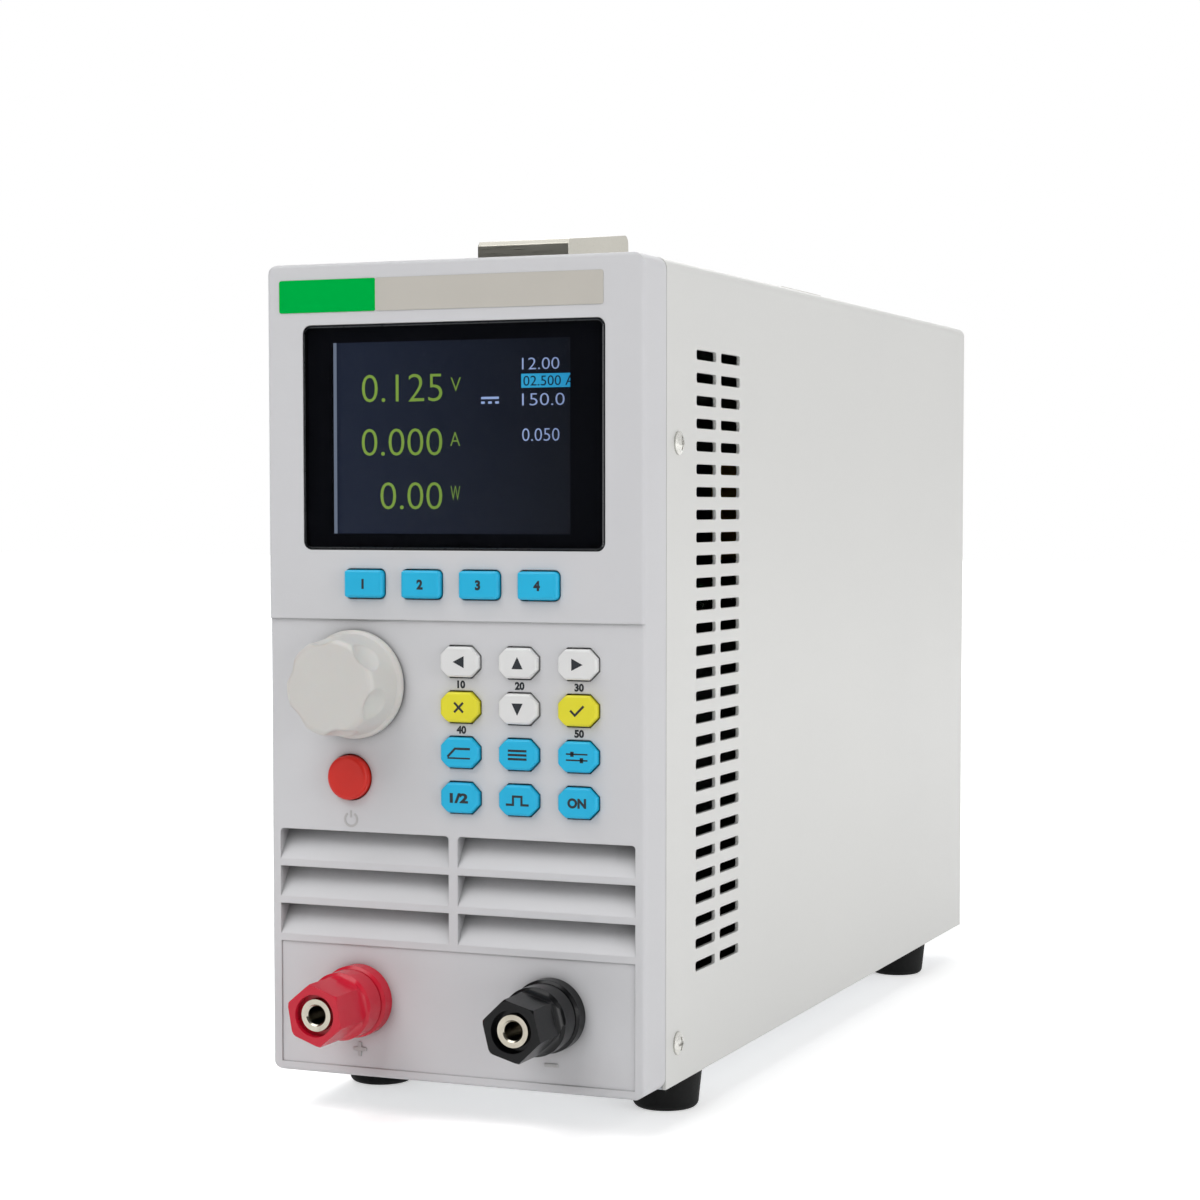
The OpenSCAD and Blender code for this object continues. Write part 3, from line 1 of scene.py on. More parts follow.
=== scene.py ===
"""Looks of a bench DC electronic load: its finishes, marks, display picture and studio."""

import logging
import math
from collections.abc import Iterable, Sequence
from dataclasses import dataclass, replace
from enum import Enum

import bmesh
import bpy
from mathutils import Matrix, Vector


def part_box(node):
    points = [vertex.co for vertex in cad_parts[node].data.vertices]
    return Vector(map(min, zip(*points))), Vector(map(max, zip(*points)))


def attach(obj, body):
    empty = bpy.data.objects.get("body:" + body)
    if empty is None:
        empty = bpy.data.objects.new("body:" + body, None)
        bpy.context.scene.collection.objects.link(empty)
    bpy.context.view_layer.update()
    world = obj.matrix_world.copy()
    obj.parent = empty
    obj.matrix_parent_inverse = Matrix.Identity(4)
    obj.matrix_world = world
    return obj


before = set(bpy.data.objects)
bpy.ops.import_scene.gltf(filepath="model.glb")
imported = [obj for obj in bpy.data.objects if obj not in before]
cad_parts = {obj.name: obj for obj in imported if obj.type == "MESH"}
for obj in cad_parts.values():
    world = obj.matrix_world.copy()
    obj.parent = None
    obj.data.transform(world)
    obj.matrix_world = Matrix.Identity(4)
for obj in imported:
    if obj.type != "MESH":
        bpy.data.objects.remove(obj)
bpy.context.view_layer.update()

MM = 0.001
CASE = "case"
# How far painted shade reaches into hollows in millimetres, and the open shares at which it is darkest and at
# which the plain tone comes back.
HOLLOW_SHADE_REACH = 6.0
HOLLOW_SHADE_SHARE = (0.0, 0.8)
UNLIT = "#08090C"
MITRE_LIMIT = 0.3
MERGE = 1e-7
LOG = logging.getLogger("load")

Point = tuple[float, float]
Spot = tuple[float, float, float]
Box = tuple[float, float, float, float]
Colour = tuple[float, float, float, float]
Words = tuple[str, float, float, float, float]
Constants = tuple[tuple[str, float | Colour], ...]
Outline = list[Point]
Mesh = bpy.types.Mesh
Node = bpy.types.Node
Socket = bpy.types.NodeSocket
Tree = bpy.types.NodeTree
Layer = tuple[Node | Socket | float, str]

METAL: Constants = (("Metallic", 1.0),)
DULL: Constants = (("Specular IOR Level", 0.2),)
BONDED: Constants = (("Specular IOR Level", 0.0),)
SATIN: Constants = (("Specular IOR Level", 0.35),)


def linear(colour: str) -> Colour:
    """Turns an sRGB hex colour to linear light.

    Args:
        colour: The colour, such as "#C3C3C5".

    Returns:
        Red, green, blue and an alpha of 1.
    """
    parts = [int(colour[i:i + 2], 16) / 255 for i in (1, 3, 5)]
    light = [p / 12.92 if p <= 0.04045 else ((p + 0.055) / 1.055) ** 2.4 for p in parts]
    return (light[0], light[1], light[2], 1.0)


def per_mm(size: float) -> float:
    """Returns the texture scale at which one grain is so many millimetres wide."""
    return 1 / (size * MM)


def band_scale(pitch: float) -> float:
    """Returns the Wave Texture scale that repeats every so many millimetres."""
    return math.pi / 10 / (pitch * MM)


def add_node(tree: Tree, kind: str, inputs: dict | None = None, **settings: object) -> Node:
    """Adds one node with its settings, input values and links.

    Args:
        tree: The tree that takes the node.
        kind: The node's type name.
        inputs: Values, sockets to link, or nodes whose first output is linked, by input name or number.
        settings: Values of the node's own properties.

    Returns:
        The new node.
    """
    node = tree.nodes.new(kind)
    for name, value in settings.items():
        setattr(node, name, value)
    for key, value in (inputs or {}).items():
        if isinstance(value, Node):
            value = value.outputs[0]
        if isinstance(value, Socket):
            tree.links.new(value, node.inputs[key])
        else:
            node.inputs[key].default_value = value
    return node


def blank(block: bpy.types.Material | bpy.types.World) -> Tree:
    """Returns a new material's or world's node tree, emptied."""
    block.use_nodes = True
    block.node_tree.nodes.clear()
    return block.node_tree


def placed(name: str, data: bpy.types.ID) -> bpy.types.Object:
    """Returns a new object of that data, linked to the scene."""
    made = bpy.data.objects.new(name, data)
    bpy.context.scene.collection.objects.link(made)
    return made


class Lay(Enum):
    """Which way a finish's grain runs, as the stretch of its pattern along X, Y and Z."""

    EVEN = (1.0, 1.0, 1.0)
    ALONG_X = (0.03, 1.0, 1.0)
    ALONG_Y = (1.0, 0.03, 1.0)


class Axis(Enum):
    """An axis of the part, as the place of its output on Separate XYZ."""

    X = 0
    Y = 1
    Z = 2


@dataclass(frozen=True)
class Ground:
    """What a finish is drawn on: its tree, the Object coordinates and the grain."""

    tree: Tree
    coords: Socket
    grain: Socket

    def add(self, kind: str, inputs: dict | None = None, **settings: object) -> Node:
        """Adds a node to the tree."""
        return add_node(self.tree, kind, inputs, **settings)


@dataclass(frozen=True)
class Finish:
    """A surface as it was made: two close tones, a grain that dents it and a spread of gloss."""

    name: str
    colour: str
    shade: str
    roughness: float
    spread: float = 0.06
    grain: float = 0.5
    depth: float = 0.006
    cloud: float = 22.0
    lay: Lay = Lay.EVEN
    edge: float = 0.0
    constants: Constants = ()
    # share of painted shade laid into hollows at most, 0 for none
    hollow_shade: float = 0.0

    def material(self) -> bpy.types.Material:
        """Makes the finish's material, or returns the one made before.

        Returns:
            The material.
        """
        made = bpy.data.materials.get(self.name)
        if made:
            return made
        made = bpy.data.materials.new(self.name)
        tree = blank(made)
        coords = add_node(tree, "ShaderNodeTexCoord").outputs["Object"]
        laid = add_node(tree, "ShaderNodeMapping", {"Vector": coords, "Scale": self.lay.value})
        grain = add_node(tree, "ShaderNodeTexNoise", {
            "Vector": laid, "Scale": per_mm(self.grain), "Detail": 2.0}).outputs[0]
        on = Ground(tree, coords, grain)
        cloud = on.add("ShaderNodeTexNoise", {"Vector": coords, "Scale": per_mm(self.cloud), "Detail": 3.0})
        tone: Colour | Socket = linear(self.colour)
        for share, colour in [(cloud, self.shade), *self.layers(on)]:
            mixed = on.add("ShaderNodeMix", {0: share, 6: tone, 7: linear(colour)}, data_type="RGBA")
            tone = mixed.outputs[2]
        gloss = on.add("ShaderNodeMapRange", {
            "Value": grain, "To Min": self.roughness - self.spread, "To Max": self.roughness + self.spread})
        bump = {"Height": self.relief(on), "Distance": self.depth * MM, "Strength": 1.0}
        if self.edge:
            bump["Normal"] = on.add("ShaderNodeBevel", {"Radius": self.edge * MM}, samples=4)
        shader = on.add("ShaderNodeBsdfPrincipled", {
            **self.shown(tone), "Roughness": gloss, "Normal": on.add("ShaderNodeBump", bump)})
        for name, value in self.constants:
            shader.inputs[name].default_value = value
        on.add("ShaderNodeOutputMaterial", {"Surface": shader})
        return made

    def layers(self, on: Ground) -> list[Layer]:
        """Paints shade into the hollows: the colour darkens towards black where ambient occlusion finds them
        closed in.

        Args:
            on: What the finish is drawn on.

        Returns:
            Shares and colours to lay over the cloudy tone, in order.
        """
        if not self.hollow_shade:
            return []
        # painted shade: ambient occlusion darkens the colour towards black in hollows
        bare = on.add("ShaderNodeAmbientOcclusion", {"Distance": HOLLOW_SHADE_REACH * MM}, samples=8).outputs["AO"]
        share = on.add("ShaderNodeMapRange", {
            "Value": bare, "From Min": HOLLOW_SHADE_SHARE[0], "From Max": HOLLOW_SHADE_SHARE[1],
            "To Min": self.hollow_shade, "To Max": 0.0})
        return [(share, "#000000")]

    def relief(self, on: Ground) -> Socket:
        """Returns the height that dents the surface, here the plain grain."""
        return on.grain

    def shown(self, tone: Socket) -> dict:
        """Returns the shader's colour inputs."""
        return {"Base Color": tone}


@dataclass(frozen=True)
class LitFinish(Finish):
    """Pixels lit from behind, which give off their own colour, with a painted fall-off of that light from one
    side to the other.
    """

    constants: Constants = DULL
    left: float = 0.0
    right: float = 1.0

    def layers(self, on: Ground) -> list[Layer]:
        """Paints a fall-off of the light, fading the colour to the shade from the left to the right.

        Args:
            on: What the finish is drawn on.

        Returns:
            Shares and colours.
        """
        # painted fall-off of the light: darker towards the right
        share = on.add("ShaderNodeMapRange", {
            "Value": on.add("ShaderNodeSeparateXYZ", {0: on.coords}),
            "From Min": self.left * MM, "From Max": self.right * MM})
        return [(1.0, self.colour), (share, self.shade)]

    def shown(self, tone: Socket) -> dict:
        """Returns the tone as light, from a surface that is dark itself."""
        return {"Base Color": linear(UNLIT), "Emission Color": tone, "Emission Strength": 1.0}


@dataclass(frozen=True)
class SplitFinish(Finish):
    """A finish in two colours, one on each side of a plane across the part."""

    beyond: str = "#000000"
    axis: Axis = Axis.X
    at: float = 0.0
    folded: bool = False

    def layers(self, on: Ground) -> list[Layer]:
        """Puts the second colour past the plane, or past it on both sides.

        Args:
            on: What the finish is drawn on.

        Returns:
            Shares and colours.
        """
        place: Node | Socket = on.add("ShaderNodeSeparateXYZ", {0: on.coords}).outputs[self.axis.value]
        if self.folded:
            place = on.add("ShaderNodeMath", {0: place}, operation="ABSOLUTE")
        past = on.add("ShaderNodeMath", {0: place, 1: self.at * MM}, operation="GREATER_THAN")
        return [(past, self.beyond)]


@dataclass(frozen=True)
class BandedFinish(Finish):
    """A finish with fine bands across one axis, such as threads, stampings or sheets in a stack."""

    axis: Axis = Axis.Y
    pitch: float = 1.0
    tint: float = 0.0
    grain_share: float = 0.15

    def bands(self, on: Ground) -> Socket:
        """Returns the bands' height from 0 to 1."""
        return on.add("ShaderNodeTexWave", {"Vector": on.coords, "Scale": band_scale(self.pitch)},
                      bands_direction=self.axis.name).outputs["Fac"]

    def relief(self, on: Ground) -> Socket:
        """Returns the bands' height with a little of the grain on it."""
        return on.add("ShaderNodeMath", {0: on.grain, 1: self.grain_share, 2: self.bands(on)},
                      operation="MULTIPLY_ADD").outputs[0]

    def layers(self, on: Ground) -> list[Layer]:
        """Darkens the grooves by the tint: painted shade in a thread's grooves, and the dark joints between
        sheets in a stack.
        """
        share = on.add("ShaderNodeMapRange", {"Value": self.bands(on), "To Min": self.tint, "To Max": 0.0})
        return [(share, self.shade)]


@dataclass(frozen=True)
class BoardFinish(Finish):
    """Solder mask over etched copper: paler tracks under the green and small tinned pads."""

    track: str = "#2C8354"
    pad: str = "#B9B7A8"
    pad_pitch: float = 5.08
    pad_size: float = 0.2
    pad_stray: float = 0.35
    rail: float = 0.09
    rail_gap: float = 0.055

    def layers(self, on: Ground) -> list[Layer]:
        """Draws the tracks and pads.

        Args:
            on: What the finish is drawn on.

        Returns:
            Shares and colours.
        """
        tracks = on.add("ShaderNodeTexVoronoi", {"Vector": on.coords, "Scale": per_mm(4 * self.pad_pitch)},
                        feature="F1", distance="MANHATTAN")
        rail = on.add("ShaderNodeMath", {0: tracks, 1: self.rail}, operation="PINGPONG")
        line = on.add("ShaderNodeMath", {0: rail, 1: self.rail_gap}, operation="GREATER_THAN")
        spots = on.add("ShaderNodeTexVoronoi", {
            "Vector": on.coords, "Scale": per_mm(self.pad_pitch), "Randomness": self.pad_stray}, feature="F1")
        dot = on.add("ShaderNodeMath", {0: spots, 1: self.pad_size}, operation="LESS_THAN")
        return [(line, self.track), (dot, self.pad)]


@dataclass(frozen=True)
class ChipFinish(Finish):
    """Small parts of mixed kinds: each keeps one tone between black epoxy and tan ceramic."""

    dark_share: float = 0.6

    def layers(self, on: Ground) -> list[Layer]:
        """Picks each part's tone by its own number.

        Args:
            on: What the finish is drawn on.

        Returns:
            Shares and colours.
        """
        lot = on.add("ShaderNodeNewGeometry").outputs["Random Per Island"]
        tan = on.add("ShaderNodeMath", {0: lot, 1: self.dark_share}, operation="GREATER_THAN")
        return [(1.0, self.colour), (tan, self.shade)]


# Moulded ABS from a spark-eroded tool: an even matt grey with a fine tooth, drawn coarser to show. Its
# hollows get painted shade.
BEZEL_ABS = Finish("abs_spark_eroded_grey", "#D2D2D4", "#CDCDD0", 0.56, 0.08, 0.55, 0.012, 40.0, edge=0.35,
                   hollow_shade=0.95)
# The same moulding where a sign stands proud, a shade darker than the face around it.
SIGN_ABS = Finish("abs_raised_sign", "#BDBCBC", "#B6B5B5", 0.5, 0.06, 0.4, 0.008)
# Powder-coated steel: warm off-white with a faint orange peel and a soft sheen.
COVER_PAINT = Finish("steel_powder_coated", "#D7D7D4", "#D2D2D0", 0.38, 0.06, 1.1, 0.012, 60.0, edge=0.3)
PANEL_PAINT = Finish("steel_powder_coated_rear", "#D3D3D1", "#CECECC", 0.42, 0.06, 1.1, 0.012, 60.0, edge=0.3)
# Zinc-plated sheet: bluish grey with a rolled grain.
ZINC_SHEET = Finish("steel_zinc_plated_sheet", "#B4B7BA", "#A3A7AB", 0.36, 0.1, 0.8, 0.004,
                    9.0, Lay.ALONG_Y, constants=METAL)
# Nickel-plated screw: bright with fine turned scratches.
ZINC_SCREW = Finish("steel_nickel_plated_screw", "#D3D2CE", "#C2C1BC", 0.26, 0.08, 0.3, 0.003,
                    3.0, edge=0.15, constants=METAL)
# Moulded rubber: near-black, dull, with a slight bloom.
FOOT_RUBBER = Finish("rubber_moulded_black", "#0D0E0E", "#121313", 0.72, 0.1, 0.6, 0.02, 6.0, edge=0.3,
                     constants=DULL)
# Chromed die-casting, brushed across: warm bright metal with fine lines.
HANDLE_CHROME = Finish("zinc_alloy_chromed_brushed", "#C6C3B9", "#BAB7AD", 0.3, 0.08, 0.35, 0.004,
                       14.0, Lay.ALONG_X, 0.35, METAL)
# Embossed vinyl over spring steel: dark grey with a leathery tooth.
STRAP_VINYL = Finish("vinyl_embossed_dark", "#2B2C2F", "#232427", 0.58, 0.1, 1.3, 0.08, 12.0, edge=0.4)
# Cast acrylic sheet with a low-reflection coat: clear and glossy, a trace grey, with a weak mirror image.
LENS_ACRYLIC = Finish("acrylic_cast_clear", "#EFF0F1", "#EBECEE", 0.03, 0.02, 4.0, 0.0002, 30.0, constants=(
    ("Transmission Weight", 1.0), ("IOR", 1.49), ("Specular Tint", linear("#9C9C9C"))))
# Sawn and chamfered acrylic edge with the black print behind it: a dark line with a faint shine.
LENS_EDGE = Finish("acrylic_chamfer_frosted", "#303236", "#26282B", 0.3, 0.1, 0.4, 0.01, 6.0)
# Screen-printed black bonded to the back of the lens: deep and even, with no shine of its own.
LENS_PRINT = Finish("ink_screen_printed_black", "#15161B", "#17181E", 0.5, 0.05, 0.6, 0.002, constants=BONDED)
# Display glass in its frame: dark and glossy with a bluish cast.
DISPLAY_PANEL = Finish("display_glass_dark", "#171B25", "#131720", 0.2, 0.04, 1.0, 0.001)
# Backlit liquid crystal seen from the side: dark blue-grey with a painted fall-off of its light to the right;
# the green, pale and cyan pixels below fade the same way.
LCD_FIELD = LitFinish("lcd_backlit_field", "#1D2435", "#080B13", 0.3, left=-24.0, right=30.0)
LCD_RIM = LitFinish("lcd_backlight_rim", "#707A8C", "#707A8C", 0.4)
LCD_GREEN = LitFinish("lcd_pixels_green", "#87A845", "#7A9C3F", 0.4, left=-24.0, right=2.0)
LCD_BLUE = LitFinish("lcd_pixels_pale_blue", "#9FB6E6", "#9FB6E6", 0.4)
LCD_PALE = LitFinish("lcd_pixels_pale", "#A6BBEA", "#8C9FCC", 0.4, left=15.0, right=28.0)
LCD_CYAN = LitFinish("lcd_pixels_cyan", "#33ABDB", "#2596C8", 0.4, left=15.0, right=28.0)
LCD_DARK = LitFinish("lcd_pixels_dark", "#10202E", "#10202E", 0.4)
# Glass-epoxy board with green mask.
BOARD = BoardFinish("glass_epoxy_green_mask", "#17633A", "#145632", 0.32, 0.05, 0.7, 0.006, 15.0)
# Glass-filled nylon, moulded: black with a slight sheen.
BLACK_NYLON = Finish("nylon_moulded_black", "#141416", "#1B1B1D", 0.46, 0.08, 0.5, 0.012, 10.0, edge=0.25)
# Moulded silicone-feel ABS keys: clean colour, satin, with soft edges.
KEY_BLUE = Finish("abs_key_sky_blue", "#20B8E4", "#1AB0DC", 0.42, 0.05, 0.4, 0.004, 8.0, edge=0.3,
                  constants=SATIN)
KEY_WHITE = Finish("abs_key_white", "#E4E4E3", "#DCDCDC", 0.42, 0.05, 0.4, 0.004, 8.0, edge=0.3)
KEY_YELLOW = Finish("abs_key_yellow", "#E7DE33", "#DED52A", 0.42, 0.05, 0.4, 0.004, 8.0, edge=0.3,
                    constants=SATIN)
# Pad-printed legend: flat dark ink.
KEY_INK = Finish("ink_pad_printed", "#11171F", "#171D25", 0.55, 0.05, 0.3, 0.003)
# Ivory ABS knob: light passes a little way in, so its shadows stay soft.
KNOB_ABS = Finish("abs_knob_ivory", "#D0CECA", "#CAC8C4", 0.4, 0.05, 0.5, 0.006, 12.0, edge=0.8, constants=(
    ("Subsurface Weight", 0.1), ("Subsurface Scale", 0.002)))
# Satin moulded red button.
BUTTON_RED = Finish("abs_button_red", "#D4281C", "#CB2218", 0.36, 0.05, 0.5, 0.004, 6.0, edge=0.35,
                    constants=SATIN)
# Glossy phenolic-type plastic of the binding posts.
POST_RED = Finish("nylon_post_red", "#CC1632", "#C2122C", 0.24, 0.03, 0.9, 0.002, 7.0, edge=0.15,
                  constants=SATIN)
POST_BLACK = Finish("nylon_post_black", "#060709", "#0A0A0C", 0.22, 0.03, 0.9, 0.002, 7.0, edge=0.15,
                    constants=DULL)
# Turned and nickel-plated brass: warm bright metal, with the stud's thread as fine rings whose grooves carry
# painted shade.
STUD_BRASS = BandedFinish("brass_nickel_plated_thread", "#D6D0C2", "#8F897C", 0.2, 0.05, 0.3, 0.05,
                          4.0, constants=METAL, axis=Axis.Y, pitch=1.0, tint=0.25)
WASHER_BRASS = Finish("brass_nickel_plated_turned", "#D6D0C2", "#C8C2B3", 0.22, 0.06, 0.3, 0.004,
                      4.0, edge=0.2, constants=METAL)
# PVC-covered leads: red on the positive side and black on the negative one.
LEAD_PVC = SplitFinish("pvc_lead_red_black", "#B3202A", "#A81C26", 0.45, 0.06, 0.6, 0.01, 8.0,
                       beyond="#17171A")
# Chromed wire, welded and polished.
GUARD_CHROME = Finish("steel_wire_chromed", "#D9DADB", "#CACBCD", 0.14, 0.05, 0.5, 0.003, 8.0,
                      constants=METAL)
# Extruded aluminium with die lines along its length.
SINK_ALUMINIUM = Finish("aluminium_extruded", "#BFC2C5", "#ABAEB2", 0.36, 0.1, 0.5, 0.01,
                        12.0, Lay.ALONG_Y, constants=METAL)
STANDOFF_BRASS = Finish("brass_turned", "#C9AC62", "#B5974C", 0.3, 0.08, 0.4, 0.005, 5.0, constants=METAL)
# Laminated core with a taped coil in front and behind.
CORE_IRON = BandedFinish("iron_laminated_varnished", "#3A3D42", "#1E2023", 0.45, 0.1, 0.6, 0.03,
                         6.0, axis=Axis.Y, pitch=1.0, tint=0.8)
COIL_TAPE = Finish("polyester_tape_amber", "#B98A2E", "#A67A25", 0.35, 0.08, 0.8, 0.01, 5.0)
# Shrink sleeve over an aluminium can.
CAN_SLEEVE = SplitFinish("pvc_sleeve_dark_blue", "#1B2236", "#171D2E", 0.3, 0.05, 0.8, 0.006, 6.0,
                         beyond="#B9BCC0", axis=Axis.Z)
FILM_RED = Finish("epoxy_dipped_red", "#A8241F", "#99201B", 0.25, 0.06, 1.2, 0.02, 4.0, edge=0.3)
EPOXY_BLACK = SplitFinish("epoxy_moulded_black", "#B0B2B4", "#A2A4A6", 0.5, 0.08, 0.4, 0.01, 5.0,
                          beyond="#18181A", folded=True, at=8.0)
CHIP_MIX = ChipFinish("chip_parts_mixed", "#1A1A1C", "#9A7A55", 0.4, 0.08, 0.4, 0.004)
# Printed polyester film: satin, with the faint tooth of its print.
LABEL_GREEN = Finish("polyester_label_green", "#00B248", "#00AC45", 0.45, 0.05, 0.5, 0.004, 12.0,
                     constants=BONDED)
LABEL_BEIGE = Finish("polyester_label_beige", "#C5C1B9", "#C0BCB4", 0.45, 0.05, 0.5, 0.004, 12.0,
                     constants=DULL)


def rounded(centre: Point, width: float, height: float, radius: float, steps: int = 6) -> Outline:
    """Draws a rectangle with round corners, anticlockwise.

    Args:
        centre: Middle of the rectangle.
        width: Size across.
        height: Size up.
        radius: Corner radius.
        steps: Edges in each corner.

    Returns:
        The outline.
    """
    points = []
    for corner, (sx, sz) in enumerate([(1, 1), (-1, 1), (-1, -1), (1, -1)]):
        for i in range(steps + 1):
            turn = math.pi / 2 * (corner + i / steps)
            points.append((
                centre[0] + sx * (width / 2 - radius) + radius * math.cos(turn),
                centre[1] + sz * (height / 2 - radius) + radius * math.sin(turn)))
    return points


def ribbon(path: Sequence[Point], width: float) -> Outline:
    """Draws a line of even width with mitred bends.

    Args:
        path: Points along its middle.
        width: Width of the line.

    Returns:
        The outline.
    """
    line = [Vector(p) for p in path]
    steps = [(b - a).normalized() for a, b in zip(line, line[1:])]
    sides = []
    for i, place in enumerate(line):
        before, after = steps[max(i - 1, 0)], steps[min(i, len(steps) - 1)]
        normal = Vector((-before.y - after.y, before.x + after.x)).normalized()
        reach = width / 2 / max(normal.dot(Vector((-after.y, after.x))), MITRE_LIMIT)
        sides.append((place + normal * reach, place - normal * reach))
    return [tuple(s[1]) for s in sides] + [tuple(s[0]) for s in reversed(sides)]


def bar(x0: float, z0: float, x1: float, z1: float) -> Outline:
    """Returns an upright rectangle, anticlockwise."""
    return [(x0, z0), (x1, z0), (x1, z1), (x0, z1)]


def plus(reach: float, half: float) -> Outline:
    """Returns a plus about the origin, anticlockwise, from its reach and half its stroke."""
    return [(-reach, -half), (-half, -half), (-half, -reach), (half, -reach), (half, -half), (reach, -half),
            (reach, half), (half, half), (half, reach), (-half, reach), (-half, half), (-reach, half)]


def finished(shape: bmesh.types.BMesh, name: str) -> Mesh:
    """Turns a shape's faces outwards and makes it a mesh.

    Args:
        shape: The shape, which is used up.
        name: Name of the mesh.

    Returns:
        The mesh.
    """
    bmesh.ops.recalc_face_normals(shape, faces=shape.faces)
    mesh = bpy.data.meshes.new(name)
    shape.to_mesh(mesh)
    shape.free()
    return mesh


def loft(shape: bmesh.types.BMesh, rings: Sequence[Sequence[Spot]], capped: bool = True) -> list:
    """Joins rings of points by walls.

    Args:
        shape: The shape that takes the faces.
        rings: Rings of as many points each, in millimetres.
        capped: Whether both ends have a cap, or the last ring joins the first.

    Returns:
        The first cap's edges, if there is one.
    """
    made = [[shape.verts.new([c * MM for c in spot]) for spot in ring] for ring in rings]
    pairs = list(zip(made, made[1:]))
    edges = []
    if capped:
        edges = list(shape.faces.new(made[0]).edges)
        shape.faces.new(made[-1][::-1])
    else:
        pairs.append((made[-1], made[0]))
    for near, far in pairs:
        for i, corner in enumerate(near):
            j = (i + 1) % len(near)
            shape.faces.new((near[j], corner, far[i], far[j]))
    return edges


def prism_mesh(name: str, outlines: Iterable[Outline], front: float, back: float,
               chamfer: float = 0.0) -> Mesh:
    """Makes closed prisms along Y from outlines of X and Z in millimetres.

    Args:
        name: Name of the mesh.
        outlines: The prisms' outlines.
        front: Place of the front faces.
        back: Place of the back faces.
        chamfer: Width of the chamfer round the front faces.

    Returns:
        The mesh, in metres.
    """
    shape = bmesh.new()
    for outline in outlines:
        edges = loft(shape, [[(x, y, z) for x, z in outline] for y in (front, back)])
        if chamfer:
            bmesh.ops.bevel(shape, geom=edges, offset=chamfer * MM, segments=2, profile=0.6, affect="EDGES")
    return finished(shape, name)


def text_mesh(name: str, words: str, box: Box, front: float, thick: float, weight: float = 0.0,
              stretch: bool = True) -> Mesh:
    """Makes plain figures or a unit as a mesh that faces the front.

    Args:
        name: Name of the mesh.
        words: What it says.
        box: Left, low, right and top of the place it fills, in millimetres.
        front: Place of its front face.
        thick: Its thickness.
        weight: How much its strokes grow, as a share of the text's size.
        stretch: Whether it fills the box's width or keeps its own shape.

    Returns:
        The mesh, in metres.
    """
    curve = bpy.data.curves.new(name, "FONT")
    curve.body = words
    curve.offset = weight
    curve.extrude = 0.5
    curve.resolution_u = 4
    holder = placed(name, curve)
    graph = bpy.context.evaluated_depsgraph_get()
    mesh = bpy.data.meshes.new_from_object(holder.evaluated_get(graph))
    bpy.data.objects.remove(holder)
    bpy.data.curves.remove(curve)
    low, high = (Vector(map(pick, zip(*(v.co for v in mesh.vertices)))) for pick in (min, max))
    grow_z = (box[3] - box[1]) / (high.y - low.y)
    grow_x = (box[2] - box[0]) / (high.x - low.x) if stretch else grow_z
    place = Matrix.Translation(Vector(((box[0] + box[2]) / 2, front + thick / 2, (box[1] + box[3]) / 2)) * MM)
    turn = Matrix.Rotation(math.pi / 2, 4, "X")
    size = Matrix.Diagonal((grow_x * MM, grow_z * MM, thick * MM, 1.0))
    mesh.transform(place @ turn @ size @ Matrix.Translation((low + high) / -2))
    shape = bmesh.new()
    shape.from_mesh(mesh)
    bpy.data.meshes.remove(mesh)
    bmesh.ops.remove_doubles(shape, verts=shape.verts, dist=MERGE)
    return finished(shape, name)


def joined(name: str, meshes: Sequence[Mesh]) -> Mesh:
    """Puts several meshes into one.

    Args:
        name: Name of the whole.
        meshes: The meshes, which are used up.

    Returns:
        The whole.
    """
    shape = bmesh.new()
    for mesh in meshes:
        shape.from_mesh(mesh)
        bpy.data.meshes.remove(mesh)
    return finished(shape, name)


def piece(name: str, mesh: Mesh, finish: Finish, body: str) -> None:
    """Turns a mesh into a dressed piece that rides on a body.

    Args:
        name: Name of the piece.
        mesh: Its mesh, in place.
        finish: Its finish.
        body: The body that carries it.
    """
    mesh.name = name
    mesh.materials.clear()
    mesh.materials.append(finish.material())
    made = placed(name, mesh)
    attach(made, body)
    LOG.info("piece %s on %s: %d faces", name, body, len(mesh.polygons))


def dress(finish: Finish, *nodes: str) -> None:
    """Gives CAD nodes a finish.

    Args:
        finish: The finish.
        nodes: Names of the nodes.
    """
    for name in nodes:
        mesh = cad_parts[name].data
        mesh.materials.clear()
        mesh.materials.append(finish.material())
        LOG.info("node %s wears %s", name, finish.name)


def corners(node: str) -> tuple[Vector, Vector]:
    """Returns a node's lowest and highest corners in millimetres."""
    low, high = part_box(node)
    return low / MM, high / MM


def middle(node: str) -> Vector:
    """Returns the middle of a node's box in millimetres."""
    low, high = corners(node)
    return (low + high) / 2


